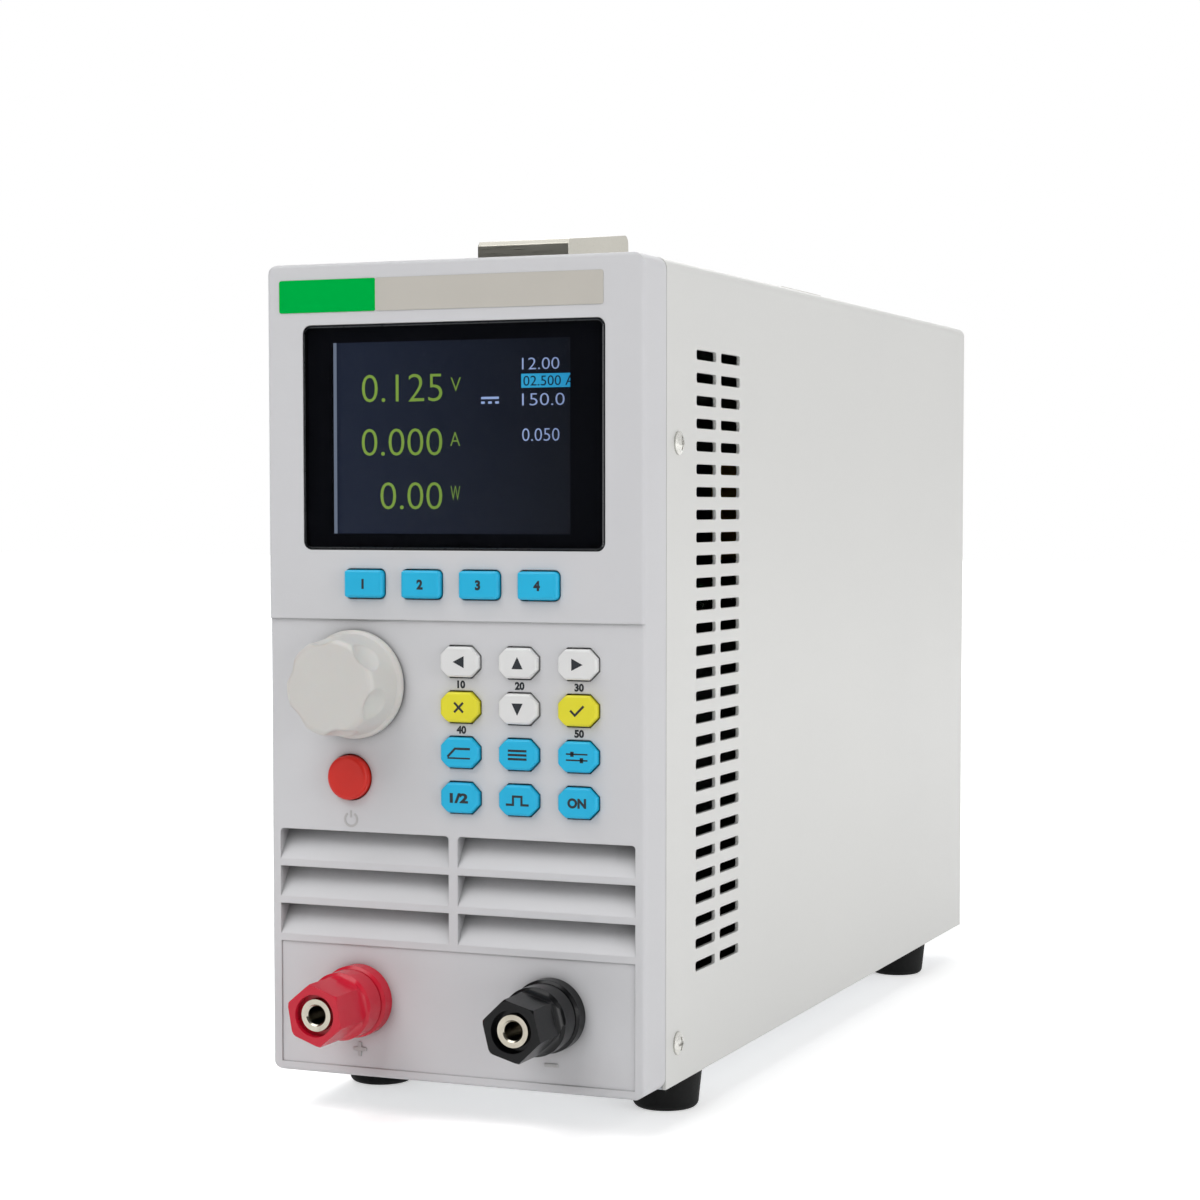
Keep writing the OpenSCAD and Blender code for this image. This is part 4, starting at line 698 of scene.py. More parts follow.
class RepeatTree:
    """A Geometry Nodes tree with named sizes, which becomes one plain mesh."""

    def __init__(self, name: str, sizes: dict[str, float | int]) -> None:
        """Starts a tree with its named inputs.

        Args:
            name: Name of the tree.
            sizes: What each input is set to, a length in metres, a share or a count.
        """
        self.tree = bpy.data.node_groups.new(name, "GeometryNodeTree")
        self.tree.interface.new_socket("Geometry", in_out="OUTPUT", socket_type="NodeSocketGeometry")
        self.start = self.add("NodeGroupInput")
        self.values: dict[str, float | int] = {}
        for label, value in sizes.items():
            kind = "NodeSocketInt" if isinstance(value, int) else "NodeSocketFloat"
            item = self.tree.interface.new_socket(label, in_out="INPUT", socket_type=kind)
            self.values[item.identifier] = value

    def __getitem__(self, label: str) -> Socket:
        """Returns a named input's socket inside the tree."""
        return self.start.outputs[label]

    def add(self, kind: str, inputs: dict | None = None, **settings: object) -> Node:
        """Adds a node to the tree."""
        return add_node(self.tree, kind, inputs, **settings)

    def mesh(self, shape: Node, finish: Finish, place: Spot) -> Mesh:
        """Ends the tree and turns what it makes into a plain mesh.

        Args:
            shape: The node that gives the geometry.
            finish: The finish that it wears.
            place: Where the mesh is put, in metres.

        Returns:
            The mesh.
        """
        real = self.add("GeometryNodeRealizeInstances", {0: shape})
        worn = self.add("GeometryNodeSetMaterial", {"Geometry": real, "Material": finish.material()})
        self.add("NodeGroupOutput", {0: worn})
        holder = placed(self.tree.name, bpy.data.meshes.new(self.tree.name))
        repeat = holder.modifiers.new("repeat", "NODES")
        repeat.node_group = self.tree
        for identifier, value in self.values.items():
            repeat[identifier] = value
        graph = bpy.context.evaluated_depsgraph_get()
        made = bpy.data.meshes.new_from_object(holder.evaluated_get(graph))
        holder.modifiers.remove(repeat)
        bpy.data.objects.remove(holder)
        made.transform(Matrix.Translation(place))
        return made


@dataclass(frozen=True)
class Lamp:
    """A square softbox that faces the object."""

    name: str
    place: Spot
    size: float
    watts: float
    aim: Spot = (0.0, 0.0, 0.1)

    def build(self) -> None:
        """Hangs the lamp."""
        light = bpy.data.lights.new(self.name, "AREA")
        light.size = self.size
        light.energy = self.watts
        lamp = placed(self.name, light)
        lamp.location = self.place
        lamp.rotation_euler = (Vector(self.aim) - lamp.location).to_track_quat("-Z", "Y").to_euler()


@dataclass
class Studio:
    """Camera, pale floor, soft lamps, and a dark screen that shiny surfaces mirror."""

    eye: Spot = (0.2498, -0.64385, 0.1354)
    yaw: float = 22.25
    pitch: float = 3.21
    sensor: float = 36.0
    lens: float = 79.83
    shift: Point = (-0.00575, 0.0474)
    clip: Point = (0.01, 50.0)
    ambient: float = 0.33
    floor_size: float = 12.0
    floor_glow: float = 0.5
    floor_fade: Point = (0.3, 1.2)
    screen_radius: float = 3.0
    screen_high: float = 5.0
    screen_turn: Point = (-115.0, 75.0)
    screen_steps: int = 24
    screen_light: Point = (0.03, 0.3)
    lamps: tuple[Lamp, ...] = (
        Lamp("top_softbox", (-0.45, -0.95, 1.6), 1.5, 20.2),
        Lamp("right_softbox", (1.7, -0.35, 0.9), 1.3, 7.0),
        Lamp("low_softbox", (1.25, -0.4, 0.1), 0.6, 4.2),
        Lamp("back_softbox", (-0.5, 1.3, 1.3), 1.2, 9.0),
    )

    def build(self) -> None:
        """Sets up the camera, the light, the floor and the screen."""
        bpy.context.scene.view_settings.view_transform = "Standard"
        self.camera()
        self.world()
        self.floor()
        self.screen()
        for lamp in self.lamps:
            lamp.build()

    def camera(self) -> None:
        """Puts the camera where the photograph was taken from."""
        data = bpy.data.cameras.new("camera")
        data.sensor_width, data.lens = self.sensor, self.lens
        data.shift_x, data.shift_y = self.shift
        data.clip_start, data.clip_end = self.clip
        eye = placed("camera", data)
        yaw, pitch = math.radians(self.yaw), math.radians(self.pitch)
        ahead = Vector((-math.sin(yaw) * math.cos(pitch), math.cos(yaw) * math.cos(pitch), -math.sin(pitch)))
        eye.location = self.eye
        eye.rotation_euler = ahead.to_track_quat("-Z", "Y").to_euler()
        bpy.context.scene.camera = eye

    def seen(self, tree: Tree) -> Node:
        """Returns 1 for what the camera sees, also in metal and through glass, and 0 for light.

        Args:
            tree: The tree that asks.

        Returns:
            The node that gives it.
        """
        path = add_node(tree, "ShaderNodeLightPath").outputs
        mirror = add_node(tree, "ShaderNodeMath", {
            0: path["Is Glossy Ray"], 1: path["Is Transmission Ray"]}, operation="MAXIMUM")
        return add_node(tree, "ShaderNodeMath", {0: path["Is Camera Ray"], 1: mirror}, operation="MAXIMUM")

    def world(self) -> None:
        """Makes a white backdrop that lights the object at the ambient level."""
        world = bpy.data.worlds.new("studio")
        tree = blank(world)
        level = add_node(tree, "ShaderNodeMapRange", {
            "Value": self.seen(tree), "To Min": self.ambient, "To Max": 1.0})
        glow = add_node(tree, "ShaderNodeBackground", {"Color": linear("#FFFFFF"), "Strength": level})
        add_node(tree, "ShaderNodeOutputWorld", {"Surface": glow})
        bpy.context.scene.world = world

    def floor(self) -> None:
        """Lays a pale floor that keeps the object's shadow and runs out to white."""
        half = self.floor_size / 2
        mesh = bpy.data.meshes.new("floor")
        mesh.from_pydata([(x, z, 0.0) for x, z in bar(-half, -half, half, half)], [], [(0, 1, 2, 3)])
        paper = bpy.data.materials.new("paper_sweep_white")
        tree = blank(paper)
        coords = add_node(tree, "ShaderNodeTexCoord").outputs["Object"]
        away = add_node(tree, "ShaderNodeVectorMath", {0: coords}, operation="LENGTH").outputs["Value"]
        near, far = self.floor_fade
        glow = add_node(tree, "ShaderNodeMapRange", {
            "Value": away, "From Min": near, "From Max": far, "To Min": self.floor_glow, "To Max": 1.0},
            interpolation_type="SMOOTHSTEP")
        shown = add_node(tree, "ShaderNodeMath", {0: glow, 1: self.seen(tree)}, operation="MULTIPLY")
        matt = add_node(tree, "ShaderNodeBsdfDiffuse", {"Color": linear("#F6F6F6")})
        shine = add_node(tree, "ShaderNodeEmission", {"Color": linear("#FFFFFF"), "Strength": shown})
        both = add_node(tree, "ShaderNodeAddShader", {0: matt, 1: shine})
        add_node(tree, "ShaderNodeOutputMaterial", {"Surface": both})
        mesh.materials.append(paper)
        placed("floor", mesh)

    def screen(self) -> None:
        """Stands a curved dark screen in front, where shiny faces would mirror the white backdrop."""
        steps = self.screen_steps
        first, last = (math.radians(turn) for turn in self.screen_turn)
        verts = []
        for i in range(steps + 1):
            turn = first + (last - first) * i / steps
            x, y = self.screen_radius * math.sin(turn), -self.screen_radius * math.cos(turn)
            verts += [(x, y, 0.0), (x, y, self.screen_high)]
        mesh = bpy.data.meshes.new("dark_screen")
        mesh.from_pydata(verts, [], [(2 * i, 2 * i + 2, 2 * i + 3, 2 * i + 1) for i in range(steps)])
        felt = bpy.data.materials.new("felt_screen_dark")
        tree = blank(felt)
        coords = add_node(tree, "ShaderNodeTexCoord").outputs["Object"]
        up = add_node(tree, "ShaderNodeSeparateXYZ", {0: coords}).outputs[2]
        dark, pale = self.screen_light
        level = add_node(tree, "ShaderNodeMapRange", {
            "Value": up, "From Min": self.screen_high / 8, "From Max": self.screen_high,
            "To Min": dark, "To Max": pale})
        glow = add_node(tree, "ShaderNodeEmission", {"Color": linear("#F2F4EE"), "Strength": level})
        add_node(tree, "ShaderNodeOutputMaterial", {"Surface": glow})
        mesh.materials.append(felt)
        screen = placed("dark_screen", mesh)
        screen.visible_camera = screen.visible_diffuse = screen.visible_shadow = False


@dataclass
class CaseShell:
    """Bezel, bent steel case, feet and screws, with the label strip and the raised signs."""

    label_left: float = -41.9
    label_right: float = 35.7
    label_split: float = -18.1
    label_drop: float = 3.55
    label_high: float = 7.15
    label_thick: float = 0.14
    label_round: float = 0.5
    sign_size: float = 3.2
    sign_stroke: float = 0.7
    sign_drop: float = 11.1
    sign_rise: float = 0.25
    power_drop: float = 9.4
    power_size: float = 1.5
    power_stroke: float = 0.4
    power_arc: Point = (125.0, 415.0)
    power_steps: int = 24
    power_reach: Point = (0.3, 1.3)

    def build(self) -> None:
        """Dresses the case and adds what is stuck and raised on its front."""
        dress(BEZEL_ABS, "front_bezel")
        dress(COVER_PAINT, "top_cover")
        dress(PANEL_PAINT, "rear_panel")
        dress(ZINC_SHEET, "base_tray")
        dress(FOOT_RUBBER, "feet")
        dress(ZINC_SCREW, "foot_screws", "cover_screws", "rear_screws", "board_screws", "handle_screws")
        self.label()
        self.signs()
        self.power_mark()

    def label(self) -> None:
        """Sticks the bare two-colour strip above the display."""
        low, high = corners("front_bezel")
        z = high.z - self.label_drop - self.label_high / 2
        for name, left, right, finish in (
            ("label_green", self.label_left, self.label_split, LABEL_GREEN),
            ("label_beige", self.label_split, self.label_right, LABEL_BEIGE),
        ):
            outline = rounded(((left + right) / 2, z), right - left, self.label_high, self.label_round)
            mesh = prism_mesh(name, [outline], low.y - self.label_thick, low.y, self.label_thick / 3)
            piece(name, mesh, finish, CASE)

    def signs(self) -> None:
        """Raises a plus under the red post and a minus under the black one."""
        reach, half = self.sign_size / 2, self.sign_stroke / 2
        minus = bar(-reach, -half, reach, half)
        for name, post, sign in (("sign_plus", "red", plus(reach, half)), ("sign_minus", "black", minus)):
            at = middle(f"{post}_post_collar")
            face = corners(f"{post}_post_collar")[1].y
            outline = [(at.x + u, at.z - self.sign_drop + v) for u, v in sign]
            mesh = prism_mesh(name, [outline], face - self.sign_rise, face, self.sign_rise / 3)
            piece(name, mesh, SIGN_ABS, CASE)

    def power_mark(self) -> None:
        """Raises the open ring and stroke under the power button."""
        at = middle("power_button")
        x, z = at.x, at.z - self.power_drop
        face = corners("encoder_nut")[1].y
        first, last = self.power_arc
        steps = self.power_steps
        turns = [math.radians(first + (last - first) * i / steps) for i in range(steps + 1)]
        size, half = self.power_size, self.power_stroke / 2
        ring = ribbon([(x + size * math.cos(a), z + size * math.sin(a)) for a in turns], self.power_stroke)
        low, top = (z + share * size for share in self.power_reach)
        stroke = bar(x - half, low, x + half, top)
        mesh = prism_mesh("power_mark", [ring, stroke], face - self.sign_rise / 2, face)
        piece("power_mark", mesh, SIGN_ABS, CASE)


@dataclass
class Display:
    """Lens with its black print, the picture behind it and the display module.

    Places in the picture are left, low, right and top, in millimetres from the lens's middle.
    """

    window: Box = (-29.43, -21.1, 27.56, 20.78)
    field: Box = (-29.16, -21.7, 28.44, 21.5)
    rim: float = 0.8
    print_inset: float = 0.35
    print_lift: float = 0.05
    print_thick: float = 0.03
    edge: float = 0.5
    edge_round: float = 1.8
    skin: float = 0.03
    thinned: float = -0.012
    readings: tuple[Words, ...] = (
        ("0.125", -22.9, 7.75, -3.3, 13.75), ("V", -1.26, 9.8, 1.14, 12.8),
        ("0.000", -23.0, -4.0, -3.35, 1.9), ("A", -1.4, -2.0, 0.93, 1.0),
        ("0.00", -18.45, -15.75, -3.4, -9.85), ("W", -1.35, -13.8, 0.9, -10.7))
    column: tuple[Words, ...] = (
        ("12.00", 15.7, 14.2, 24.4, 16.7), ("150.0", 15.7, 6.5, 25.6, 9.1), ("0.050", 15.7, -1.1, 24.4, 1.6))
    chosen: Box = (15.5, 10.3, 28.2, 13.3)
    chosen_text: Words = ("02.500 A", 16.0, 10.7, 28.0, 12.85)
    mode: Box = (6.0, 7.0, 10.2, 8.5)
    mode_stroke: float = 0.5

    def build(self) -> None:
        """Dresses the display and draws its picture."""
        dress(LENS_ACRYLIC, "display_lens")
        dress(DISPLAY_PANEL, "display_module")
        self.low, self.high = corners("display_lens")
        self.middle = middle("display_lens")
        self.glass = corners("display_module")[0].y
        self.mask()
        self.chamfer()
        self.picture()

    def moved(self, box: Sequence[float]) -> Box:
        """Returns a place in the picture as a place on the part."""
        x, z = self.middle.x, self.middle.z
        return (box[0] + x, box[1] + z, box[2] + x, box[3] + z)

    def mask(self) -> None:
        """Prints the black frame on the back of the lens, as four strips round the window."""
        inset = self.print_inset
        left, low, right, top = self.moved(self.window)
        x0, x1 = self.low.x + inset, self.high.x - inset
        z0, z1 = self.low.z + inset, self.high.z - inset
        back = self.high.y - self.print_lift
        strips = [bar(x0, z0, x1, low), bar(x0, top, x1, z1),
                  bar(x0, low, left, top), bar(right, low, x1, top)]
        piece("lens_print", prism_mesh("lens_print", strips, back - self.print_thick, back), LENS_PRINT, CASE)

    def chamfer(self) -> None:
        """Lays the frosted chamfer over the lens's front edge."""
        size, y, edge, skin = self.high - self.low, self.low.y, self.edge, self.skin
        rings = []
        for inset, depth in ((0.0, edge - skin), (edge, -skin), (edge, 0.0), (0.0, edge)):
            outline = rounded((self.middle.x, self.middle.z), size.x - 2 * inset, size.z - 2 * inset,
                              self.edge_round - inset)
            rings.append([(x, y + depth, z) for x, z in outline])
        shape = bmesh.new()
        loft(shape, rings, capped=False)
        piece("lens_chamfer", finished(shape, "lens_chamfer"), LENS_EDGE, CASE)

    def picture(self) -> None:
        """Lights the picture on the display's glass, one layer on another."""
        skin, face = self.skin, self.glass
        left, low, right, top = self.moved(self.field)
        for name, finish, outlines, layer in (
            ("lcd_field", LCD_FIELD, [bar(left, low, right, top)], 1),
            ("lcd_rim", LCD_RIM, [bar(left - self.rim, low, left, top)], 1),
            ("lcd_chosen", LCD_CYAN, [bar(*self.moved(self.chosen))], 2),
            ("lcd_mode", LCD_BLUE, self.mode_mark(), 2),
        ):
            front = face - layer * skin
            piece(name, prism_mesh(name, outlines, front, front + skin), finish, CASE)
        for name, finish, lines, layer, weight in (
            ("lcd_readings", LCD_GREEN, self.readings, 2, self.thinned),
            ("lcd_column", LCD_PALE, self.column, 2, self.thinned),
            ("lcd_chosen_text", LCD_DARK, (self.chosen_text,), 3, 0.0),
        ):
            front = face - layer * skin
            meshes = [text_mesh(name, words, self.moved(box), front, skin, weight) for words, *box in lines]
            piece(name, joined(name, meshes), finish, CASE)

    def mode_mark(self) -> list[Outline]:
        """Draws the sign for direct current, a line over three dashes.

        Returns:
            Its outlines.
        """
        left, low, right, top = self.moved(self.mode)
        stroke, step = self.mode_stroke, (right - left) / 5
        dashes = [bar(left + i * step, low, left + (i + 1) * step, low + stroke) for i in (0, 2, 4)]
        return [bar(left, top - stroke, right, top), *dashes]


class Mark(Enum):
    """A mark that is drawn on a key."""

    LEFT = "left"
    RIGHT = "right"
    UP = "up"
    DOWN = "down"
    CROSS = "cross"
    TICK = "tick"
    SLOPE = "slope"
    LIST = "list"
    SLIDERS = "sliders"
    PULSE = "pulse"


@dataclass
class Keypad:
    """Soft keys and keypad keys with their printed marks, and the switches behind them."""

    stroke: float = 0.5
    arrow: float = 1.38
    cross: float = 1.5
    text_high: float = 2.2
    text_wide: float = 4.4
    text_weight: float = 0.05
    small_high: float = 1.75
    small_weight: float = 0.05
    ink: float = 0.02
    small_drop: float = 4.95
    marks: tuple[tuple[str, Mark | str], ...] = (
        ("soft_key_1", "1"), ("soft_key_2", "2"), ("soft_key_3", "3"), ("soft_key_4", "4"),
        ("key_left", Mark.LEFT), ("key_up", Mark.UP), ("key_right", Mark.RIGHT),
        ("key_back", Mark.CROSS), ("key_down", Mark.DOWN), ("key_confirm", Mark.TICK),
        ("key_mode", Mark.SLOPE), ("key_menu", Mark.LIST), ("key_setup", Mark.SLIDERS),
        ("key_channel", "1/2"), ("key_trigger", Mark.PULSE), ("key_load", "ON"))
    small_marks: tuple[tuple[str, str], ...] = (
        ("key_left", "10"), ("key_up", "20"), ("key_right", "30"), ("key_back", "40"), ("key_confirm", "50"))
    white: tuple[str, ...] = ("key_left", "key_up", "key_right", "key_down")
    yellow: tuple[str, ...] = ("key_back", "key_confirm")

    def build(self) -> None:
        """Dresses the keys and prints their marks."""
        dress(KEY_BLUE, *(name for name, _ in self.marks if name not in self.white + self.yellow))
        dress(KEY_WHITE, *self.white)
        dress(KEY_YELLOW, *self.yellow)
        dress(BLACK_NYLON, "key_switches")
        dress(BOARD, "control_board")
        for name, mark in self.marks:
            self.legend(name, mark)
        self.panel_legends()

    def legend(self, key: str, mark: Mark | str) -> None:
        """Prints one key's mark on its face.

        Args:
            key: The key's node, which is its body's name too.
            mark: A drawn mark, or plain figures or ON.
        """
        name, at, front = f"{key}_mark", middle(key), corners(key)[0].y - self.ink
        if isinstance(mark, str):
            half_w, half_h = self.text_wide / 2, self.text_high / 2
            mesh = text_mesh(name, mark, (at.x - half_w, at.z - half_h, at.x + half_w, at.z + half_h), front,
                             self.ink, self.text_weight, stretch=len(mark) > 2)
        else:
            outlines = [[(at.x + u, at.z + v) for u, v in shape] for shape in self.drawing(mark)]
            mesh = prism_mesh(name, outlines, front, front + self.ink)
        piece(name, mesh, KEY_INK, key)

    def drawing(self, mark: Mark) -> list[Outline]:
        """Draws a mark about its middle, as filled shapes or lines of even width.

        Args:
            mark: Which mark.

        Returns:
            Its outlines.
        """
        a, s = self.arrow, self.stroke
        arrow = [(-a, 0.0), (0.9 * a, -0.95 * a), (0.9 * a, 0.95 * a)]
        turned = {
            Mark.LEFT: (0, arrow), Mark.DOWN: (90, arrow), Mark.RIGHT: (180, arrow), Mark.UP: (270, arrow),
            Mark.CROSS: (45, plus(self.cross, s / 2))}
        if mark in turned:
            degrees, shape = turned[mark]
            c, d = math.cos(math.radians(degrees)), math.sin(math.radians(degrees))
            return [[(u * c - v * d, u * d + v * c) for u, v in shape]]
        if mark is Mark.TICK:
            return [ribbon([(-1.5, 0.1), (-0.45, -0.95), (1.6, 1.1)], s)]
        if mark is Mark.SLOPE:
            return [ribbon([(-2.7, -0.9), (-0.9, 0.9), (2.7, 0.9)], s),
                    bar(-2.7, -1.35, 2.7, -1.35 + 0.7 * s)]
        if mark is Mark.LIST:
            return [bar(-2.2, v - s / 2, 2.2, v + s / 2) for v in (-0.9, 0.0, 0.9)]
        if mark is Mark.SLIDERS:
            rails = [bar(-2.5, v - s / 3, 2.5, v + s / 3) for v in (-0.65, 0.65)]
            knobs = ((-1.1, 0.65), (1.1, -0.65))
            return rails + [bar(u - 0.4, v - 0.55, u + 0.4, v + 0.55) for u, v in knobs]
        return [ribbon([(-2.7, -0.9), (-1.0, -0.9), (-1.0, 0.9), (1.0, 0.9), (1.0, -0.9), (2.7, -0.9)], s)]

    def panel_legends(self) -> None:
        """Prints the small figures on the bezel under five of the keys."""
        face, half = corners("encoder_nut")[1].y, self.small_high / 2
        meshes = []
        for key, words in self.small_marks:
            at = middle(key)
            box = (at.x, at.z - self.small_drop - half, at.x, at.z - self.small_drop + half)
            meshes.append(text_mesh(key, words, box, face - self.ink, self.ink, self.small_weight,
                                    stretch=False))
        piece("panel_figures", joined("panel_figures", meshes), KEY_INK, CASE)


@dataclass
class Controls:
    """Knob with its encoder, and the power button with its switch."""

    def build(self) -> None:
        """Dresses the controls."""
        dress(KNOB_ABS, "control_knob")
        dress(ZINC_SCREW, "encoder_shaft", "encoder_nut")
        dress(ZINC_SHEET, "encoder_body")
        dress(BUTTON_RED, "power_button")
        dress(BLACK_NYLON, "power_switch")


@dataclass
class BindingPosts:
    """Two binding posts with threaded studs, and the leads behind them."""

    def build(self) -> None:
        """Dresses both posts."""
        for colour, finish in (("red", POST_RED), ("black", POST_BLACK)):
            dress(finish, f"{colour}_post_collar", f"{colour}_post_nut")
            dress(STUD_BRASS, f"{colour}_post_stud")
            dress(WASHER_BRASS, f"{colour}_post_washer")
        dress(ZINC_SCREW, "post_rear_nuts")
        dress(LEAD_PVC, "input_leads")


@dataclass
class Handle:
    """Chromed end caps and the vinyl strap with its moulded grip ribs."""

    grip: float = 84.0
    pitch: float = 4.0
    rib: float = 1.1
    rise: float = 0.5
    margin: float = 1.6
    rib_sides: int = 12

    def build(self) -> None:
        """Dresses the handle and moulds the ribs on its strap."""
        dress(HANDLE_CHROME, "handle_front_cap", "handle_rear_cap")
        dress(STRAP_VINYL, "handle_strap")
        low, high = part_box("handle_strap")
        gaps = int(self.grip / self.pitch)
        tree = RepeatTree("strap_rib_repeat", {
            "Ribs": gaps + 1, "Rib Pitch": self.pitch * MM,
            "Rib Half Length": (high.x - low.x) / 2 - self.margin * MM,
            "Rib Radius": self.rib / 2 * MM, "Rib Rise": 2 * self.rise / self.rib})
        step = tree.add("ShaderNodeCombineXYZ", {1: tree["Rib Pitch"]})
        points = tree.add("GeometryNodeMeshLine", {"Count": tree["Ribs"], "Offset": step})
        half = tree["Rib Half Length"]
        back = tree.add("ShaderNodeMath", {0: half, 1: -1.0}, operation="MULTIPLY")
        line = tree.add("GeometryNodeCurvePrimitiveLine", {
            "Start": tree.add("ShaderNodeCombineXYZ", {0: back}),
            "End": tree.add("ShaderNodeCombineXYZ", {0: half})})
        ring = tree.add("GeometryNodeCurvePrimitiveCircle", {
            "Resolution": self.rib_sides, "Radius": tree["Rib Radius"]})
        rod = tree.add("GeometryNodeCurveToMesh", {0: line, 1: ring, "Fill Caps": True})
        flat = tree.add("ShaderNodeCombineXYZ", {0: 1.0, 1: 1.0, 2: tree["Rib Rise"]})
        rib = tree.add("GeometryNodeTransform", {"Geometry": rod, "Scale": flat})
        ribs = tree.add("GeometryNodeInstanceOnPoints", {"Points": points, "Instance": rib})
        first = (low.y + high.y) / 2 - gaps * self.pitch * MM / 2
        mesh = tree.mesh(ribs, STRAP_VINYL, (0.0, first, high.z))
        piece("strap_ribs", mesh, STRAP_VINYL, "handle_strap")


@dataclass
class Cooling:
    """Fan with its guard, mains inlet and heat sink with the screws of its transistors."""

    blade: Spot = (2.0, 14.0, 4.0)
    blade_pitch: float = 7.0
    blade_rise: float = 2.0
    blade_deep: float = 16.0
    blade_skin: float = 0.04
    blade_tip: float = 0.5
    hole_inset: float = 6.0
    body_half: float = 7.8
    body_high: float = 5.0
    rows: int = 4
    head: float = 2.8
    crown: float = 2.1
    head_high: float = 1.9
    washer: float = 3.4
    washer_high: float = 0.6
    sides: int = 24

    def build(self) -> None:
        """Dresses the rear and the cooling tunnel, and adds the blades and screws."""
        dress(BLACK_NYLON, "fan_frame", "fan_rotor", "mains_inlet")
        dress(GUARD_CHROME, "fan_guard")
        dress(SINK_ALUMINIUM, "heat_sink")
        self.inlet_blades()
        self.transistor_screws()

    def inlet_blades(self) -> None:
        """Plates the three blades of the mains inlet."""
        skin, tip = self.blade_skin, self.blade_tip
        wide, long, tall = self.blade
        start = corners("mains_inlet")[1].y - self.blade_deep + skin
        end = start + long
        shape = bmesh.new()
        for i in (-1, 0, 1):
            x = i * self.blade_pitch
            z = middle("mains_inlet").z + self.blade_rise * (1 - 2 * abs(i))
            rings = []
            for y, shrink in ((start, 0.0), (end - tip, 0.0), (end + skin, tip / 2)):
                w, h = wide / 2 + skin - shrink, tall / 2 + skin - shrink
                rings.append([(u, y, v) for u, v in bar(x - w, z - h, x + w, z + h)])
            loft(shape, rings)
        piece("inlet_blades", finished(shape, "inlet_blades"), WASHER_BRASS, CASE)

    def transistor_screws(self) -> None:
        """Screws the transistors to the heat sink, two by row."""
        low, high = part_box("power_transistors")
        tree = RepeatTree("transistor_screw_repeat", {
            "Across": 2 * (high.x - self.hole_inset * MM), "Along": high.y - low.y - 2 * self.body_half * MM,
            "Rows": self.rows, "Head Radius": self.head * MM, "Crown Radius": self.crown * MM,
            "Head Height": self.head_high * MM, "Washer Radius": self.washer * MM,
            "Washer Height": self.washer_high * MM})
        grid = tree.add("GeometryNodeMeshGrid", {
            "Size X": tree["Across"], "Size Y": tree["Along"], "Vertices X": 2, "Vertices Y": tree["Rows"]})
        disc = tree.add("GeometryNodeMeshCylinder", {
            "Vertices": self.sides, "Radius": tree["Washer Radius"], "Depth": tree["Washer Height"]})
        cone = tree.add("GeometryNodeMeshCone", {
            "Vertices": self.sides, "Radius Top": tree["Crown Radius"], "Radius Bottom": tree["Head Radius"],
            "Depth": tree["Head Height"]})
        lift = tree.add("ShaderNodeCombineXYZ", {2: tree["Washer Height"]})
        raised = tree.add("GeometryNodeTransform", {"Geometry": cone, "Translation": lift})
        screw = tree.add("GeometryNodeJoinGeometry", {0: disc})
        tree.tree.links.new(raised.outputs[0], screw.inputs[0])
        screws = tree.add("GeometryNodeInstanceOnPoints", {"Points": grid, "Instance": screw})
        seat = low.z + (self.body_high + self.washer_high / 2) * MM
        mesh = tree.mesh(screws, ZINC_SCREW, (0.0, (low.y + high.y) / 2, seat))
        piece("transistor_screws", mesh, ZINC_SCREW, CASE)


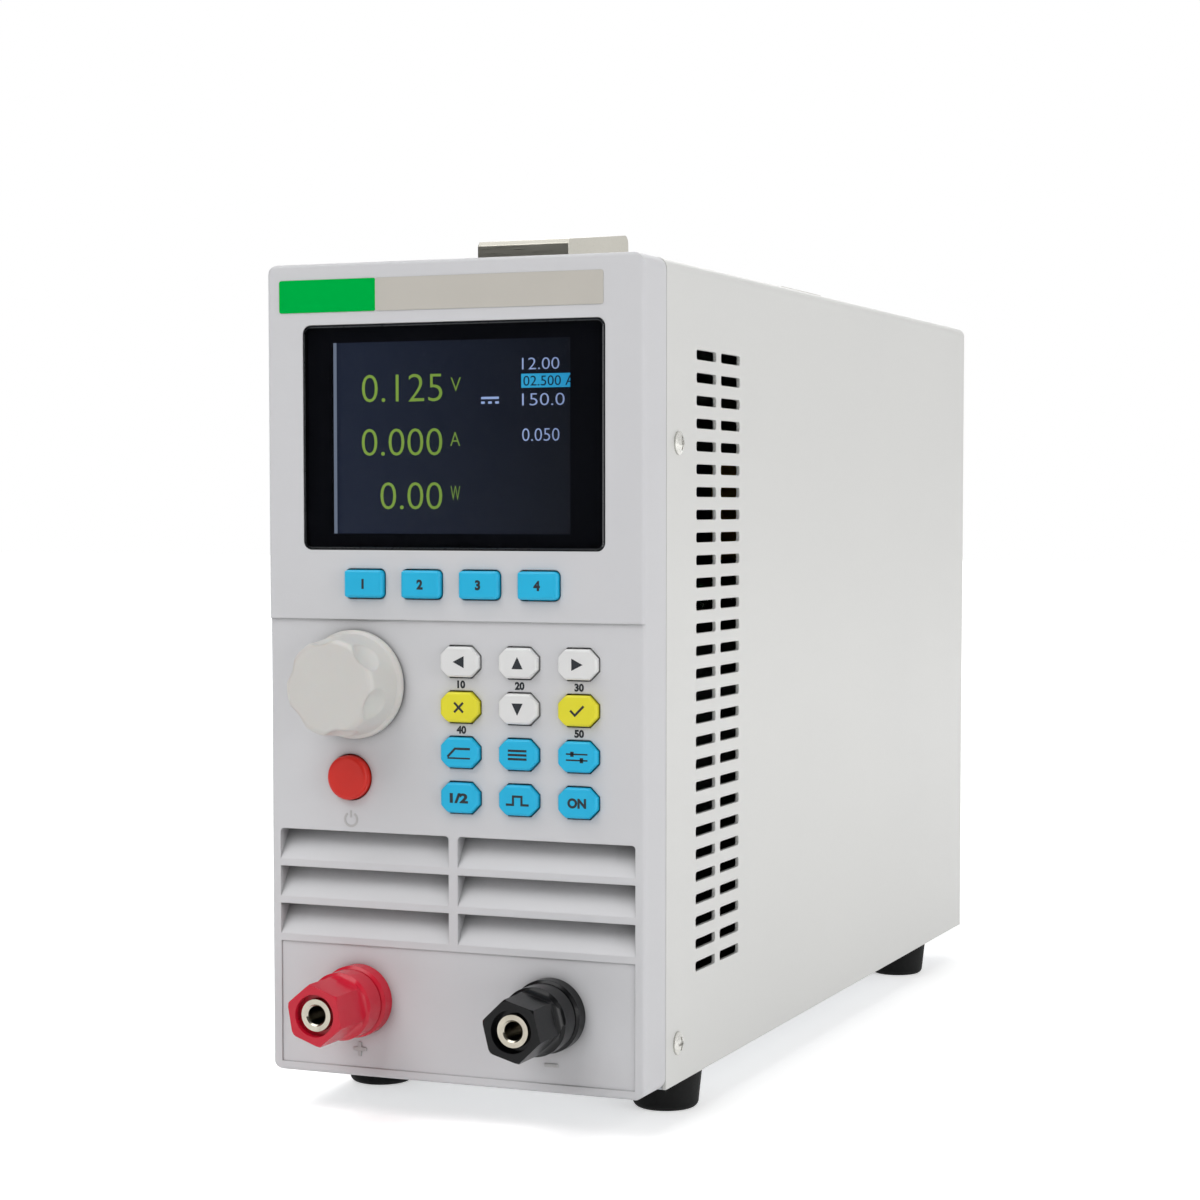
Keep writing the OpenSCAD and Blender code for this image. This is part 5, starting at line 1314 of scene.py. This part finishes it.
@dataclass
class PowerBoard:
    """Load board with its transformer, capacitors, transistors and small parts."""

    chip_wide: float = 56.0
    chip_long: float = 34.0
    chip_start: float = 77.0
    chip_columns: int = 12
    chip_rows: int = 8
    chip_sizes: Point = (0.9, 3.2)
    chip_breadth: float = 0.6
    chip_high: float = 1.1
    chip_gaps: float = 0.35
    chip_seed: int = 7
    can_lid: float = 0.4
    tape_skin: float = 0.3
    tape_round: float = 1.0
    core_half: float = 9.0
    coil_gap: float = 5.0
    coil_half: float = 15.0

    def build(self) -> None:
        """Dresses the power board and sets its small parts and the coil's tape."""
        dress(BOARD, "load_board")
        dress(STANDOFF_BRASS, "board_standoffs")
        dress(CORE_IRON, "mains_transformer")
        dress(FILM_RED, "film_capacitor")
        dress(replace(CAN_SLEEVE, at=corners("filter_capacitors")[1].z - self.can_lid), "filter_capacitors")
        dress(EPOXY_BLACK, "power_transistors")
        self.coil()
        self.chips()

    def coil(self) -> None:
        """Wraps amber tape round the coil before and behind the core."""
        low, high = corners("mains_transformer")
        at, skin = middle("mains_transformer"), self.tape_skin
        half = self.core_half + skin / 3
        tall = high.z - low.z - 2 * self.coil_gap + 2 * skin
        outline = rounded((0.0, at.z), 2 * (self.coil_half + skin), tall, self.tape_round)
        meshes = [prism_mesh("coil", [outline], low.y - skin, at.y - half, skin / 2),
                  prism_mesh("coil", [outline], at.y + half, high.y + skin)]
        piece("coil_tape", joined("coil_tape", meshes), COIL_TAPE, CASE)

    def chips(self) -> None:
        """Sets small parts in rows on the load board, some places left empty."""
        low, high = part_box("load_board")
        least, most = self.chip_sizes
        tree = RepeatTree("chip_part_repeat", {
            "Patch Width": self.chip_wide * MM, "Patch Length": self.chip_long * MM,
            "Columns": self.chip_columns, "Rows": self.chip_rows,
            "Smallest": least * MM, "Largest": most * MM, "Height": self.chip_high * MM,
            "Share Left Out": self.chip_gaps, "Seed": self.chip_seed})
        grid = tree.add("GeometryNodeMeshGrid", {
            "Size X": tree["Patch Width"], "Size Y": tree["Patch Length"],
            "Vertices X": tree["Columns"], "Vertices Y": tree["Rows"]})
        empty = tree.add("FunctionNodeRandomValue", {
            "Probability": tree["Share Left Out"], "Seed": tree["Seed"]}, data_type="BOOLEAN")
        kept = tree.add("GeometryNodeDeleteGeometry", {
            "Geometry": grid, "Selection": empty.outputs[3]}, domain="POINT")
        stood = tree.add("GeometryNodeTransform", {
            "Geometry": tree.add("GeometryNodeMeshCube"), "Translation": (0.0, 0.0, 0.5)})
        length = tree.add("FunctionNodeRandomValue", {
            2: tree["Smallest"], 3: tree["Largest"], "Seed": tree["Seed"]}, data_type="FLOAT").outputs[1]
        breadth = tree.add("ShaderNodeMath", {0: length, 1: self.chip_breadth}, operation="MULTIPLY")
        scale = tree.add("ShaderNodeCombineXYZ", {0: length, 1: breadth, 2: tree["Height"]})
        parts = tree.add("GeometryNodeInstanceOnPoints", {"Points": kept, "Instance": stood, "Scale": scale})
        start = low.y + (self.chip_start + self.chip_long / 2) * MM
        piece("chip_parts", tree.mesh(parts, CHIP_MIX, (0.0, start, high.z)), CHIP_MIX, CASE)


def main() -> None:
    """Builds the studio and then each sub-assembly in order."""
    logging.basicConfig(level=logging.INFO, format="%(name)s: %(message)s")
    for part in (Studio(), CaseShell(), Display(), Keypad(), Controls(), BindingPosts(), Handle(), Cooling(),
                 PowerBoard()):
        LOG.info("building %s", type(part).__name__)
        part.build()


if __name__ == "__main__":
    main()
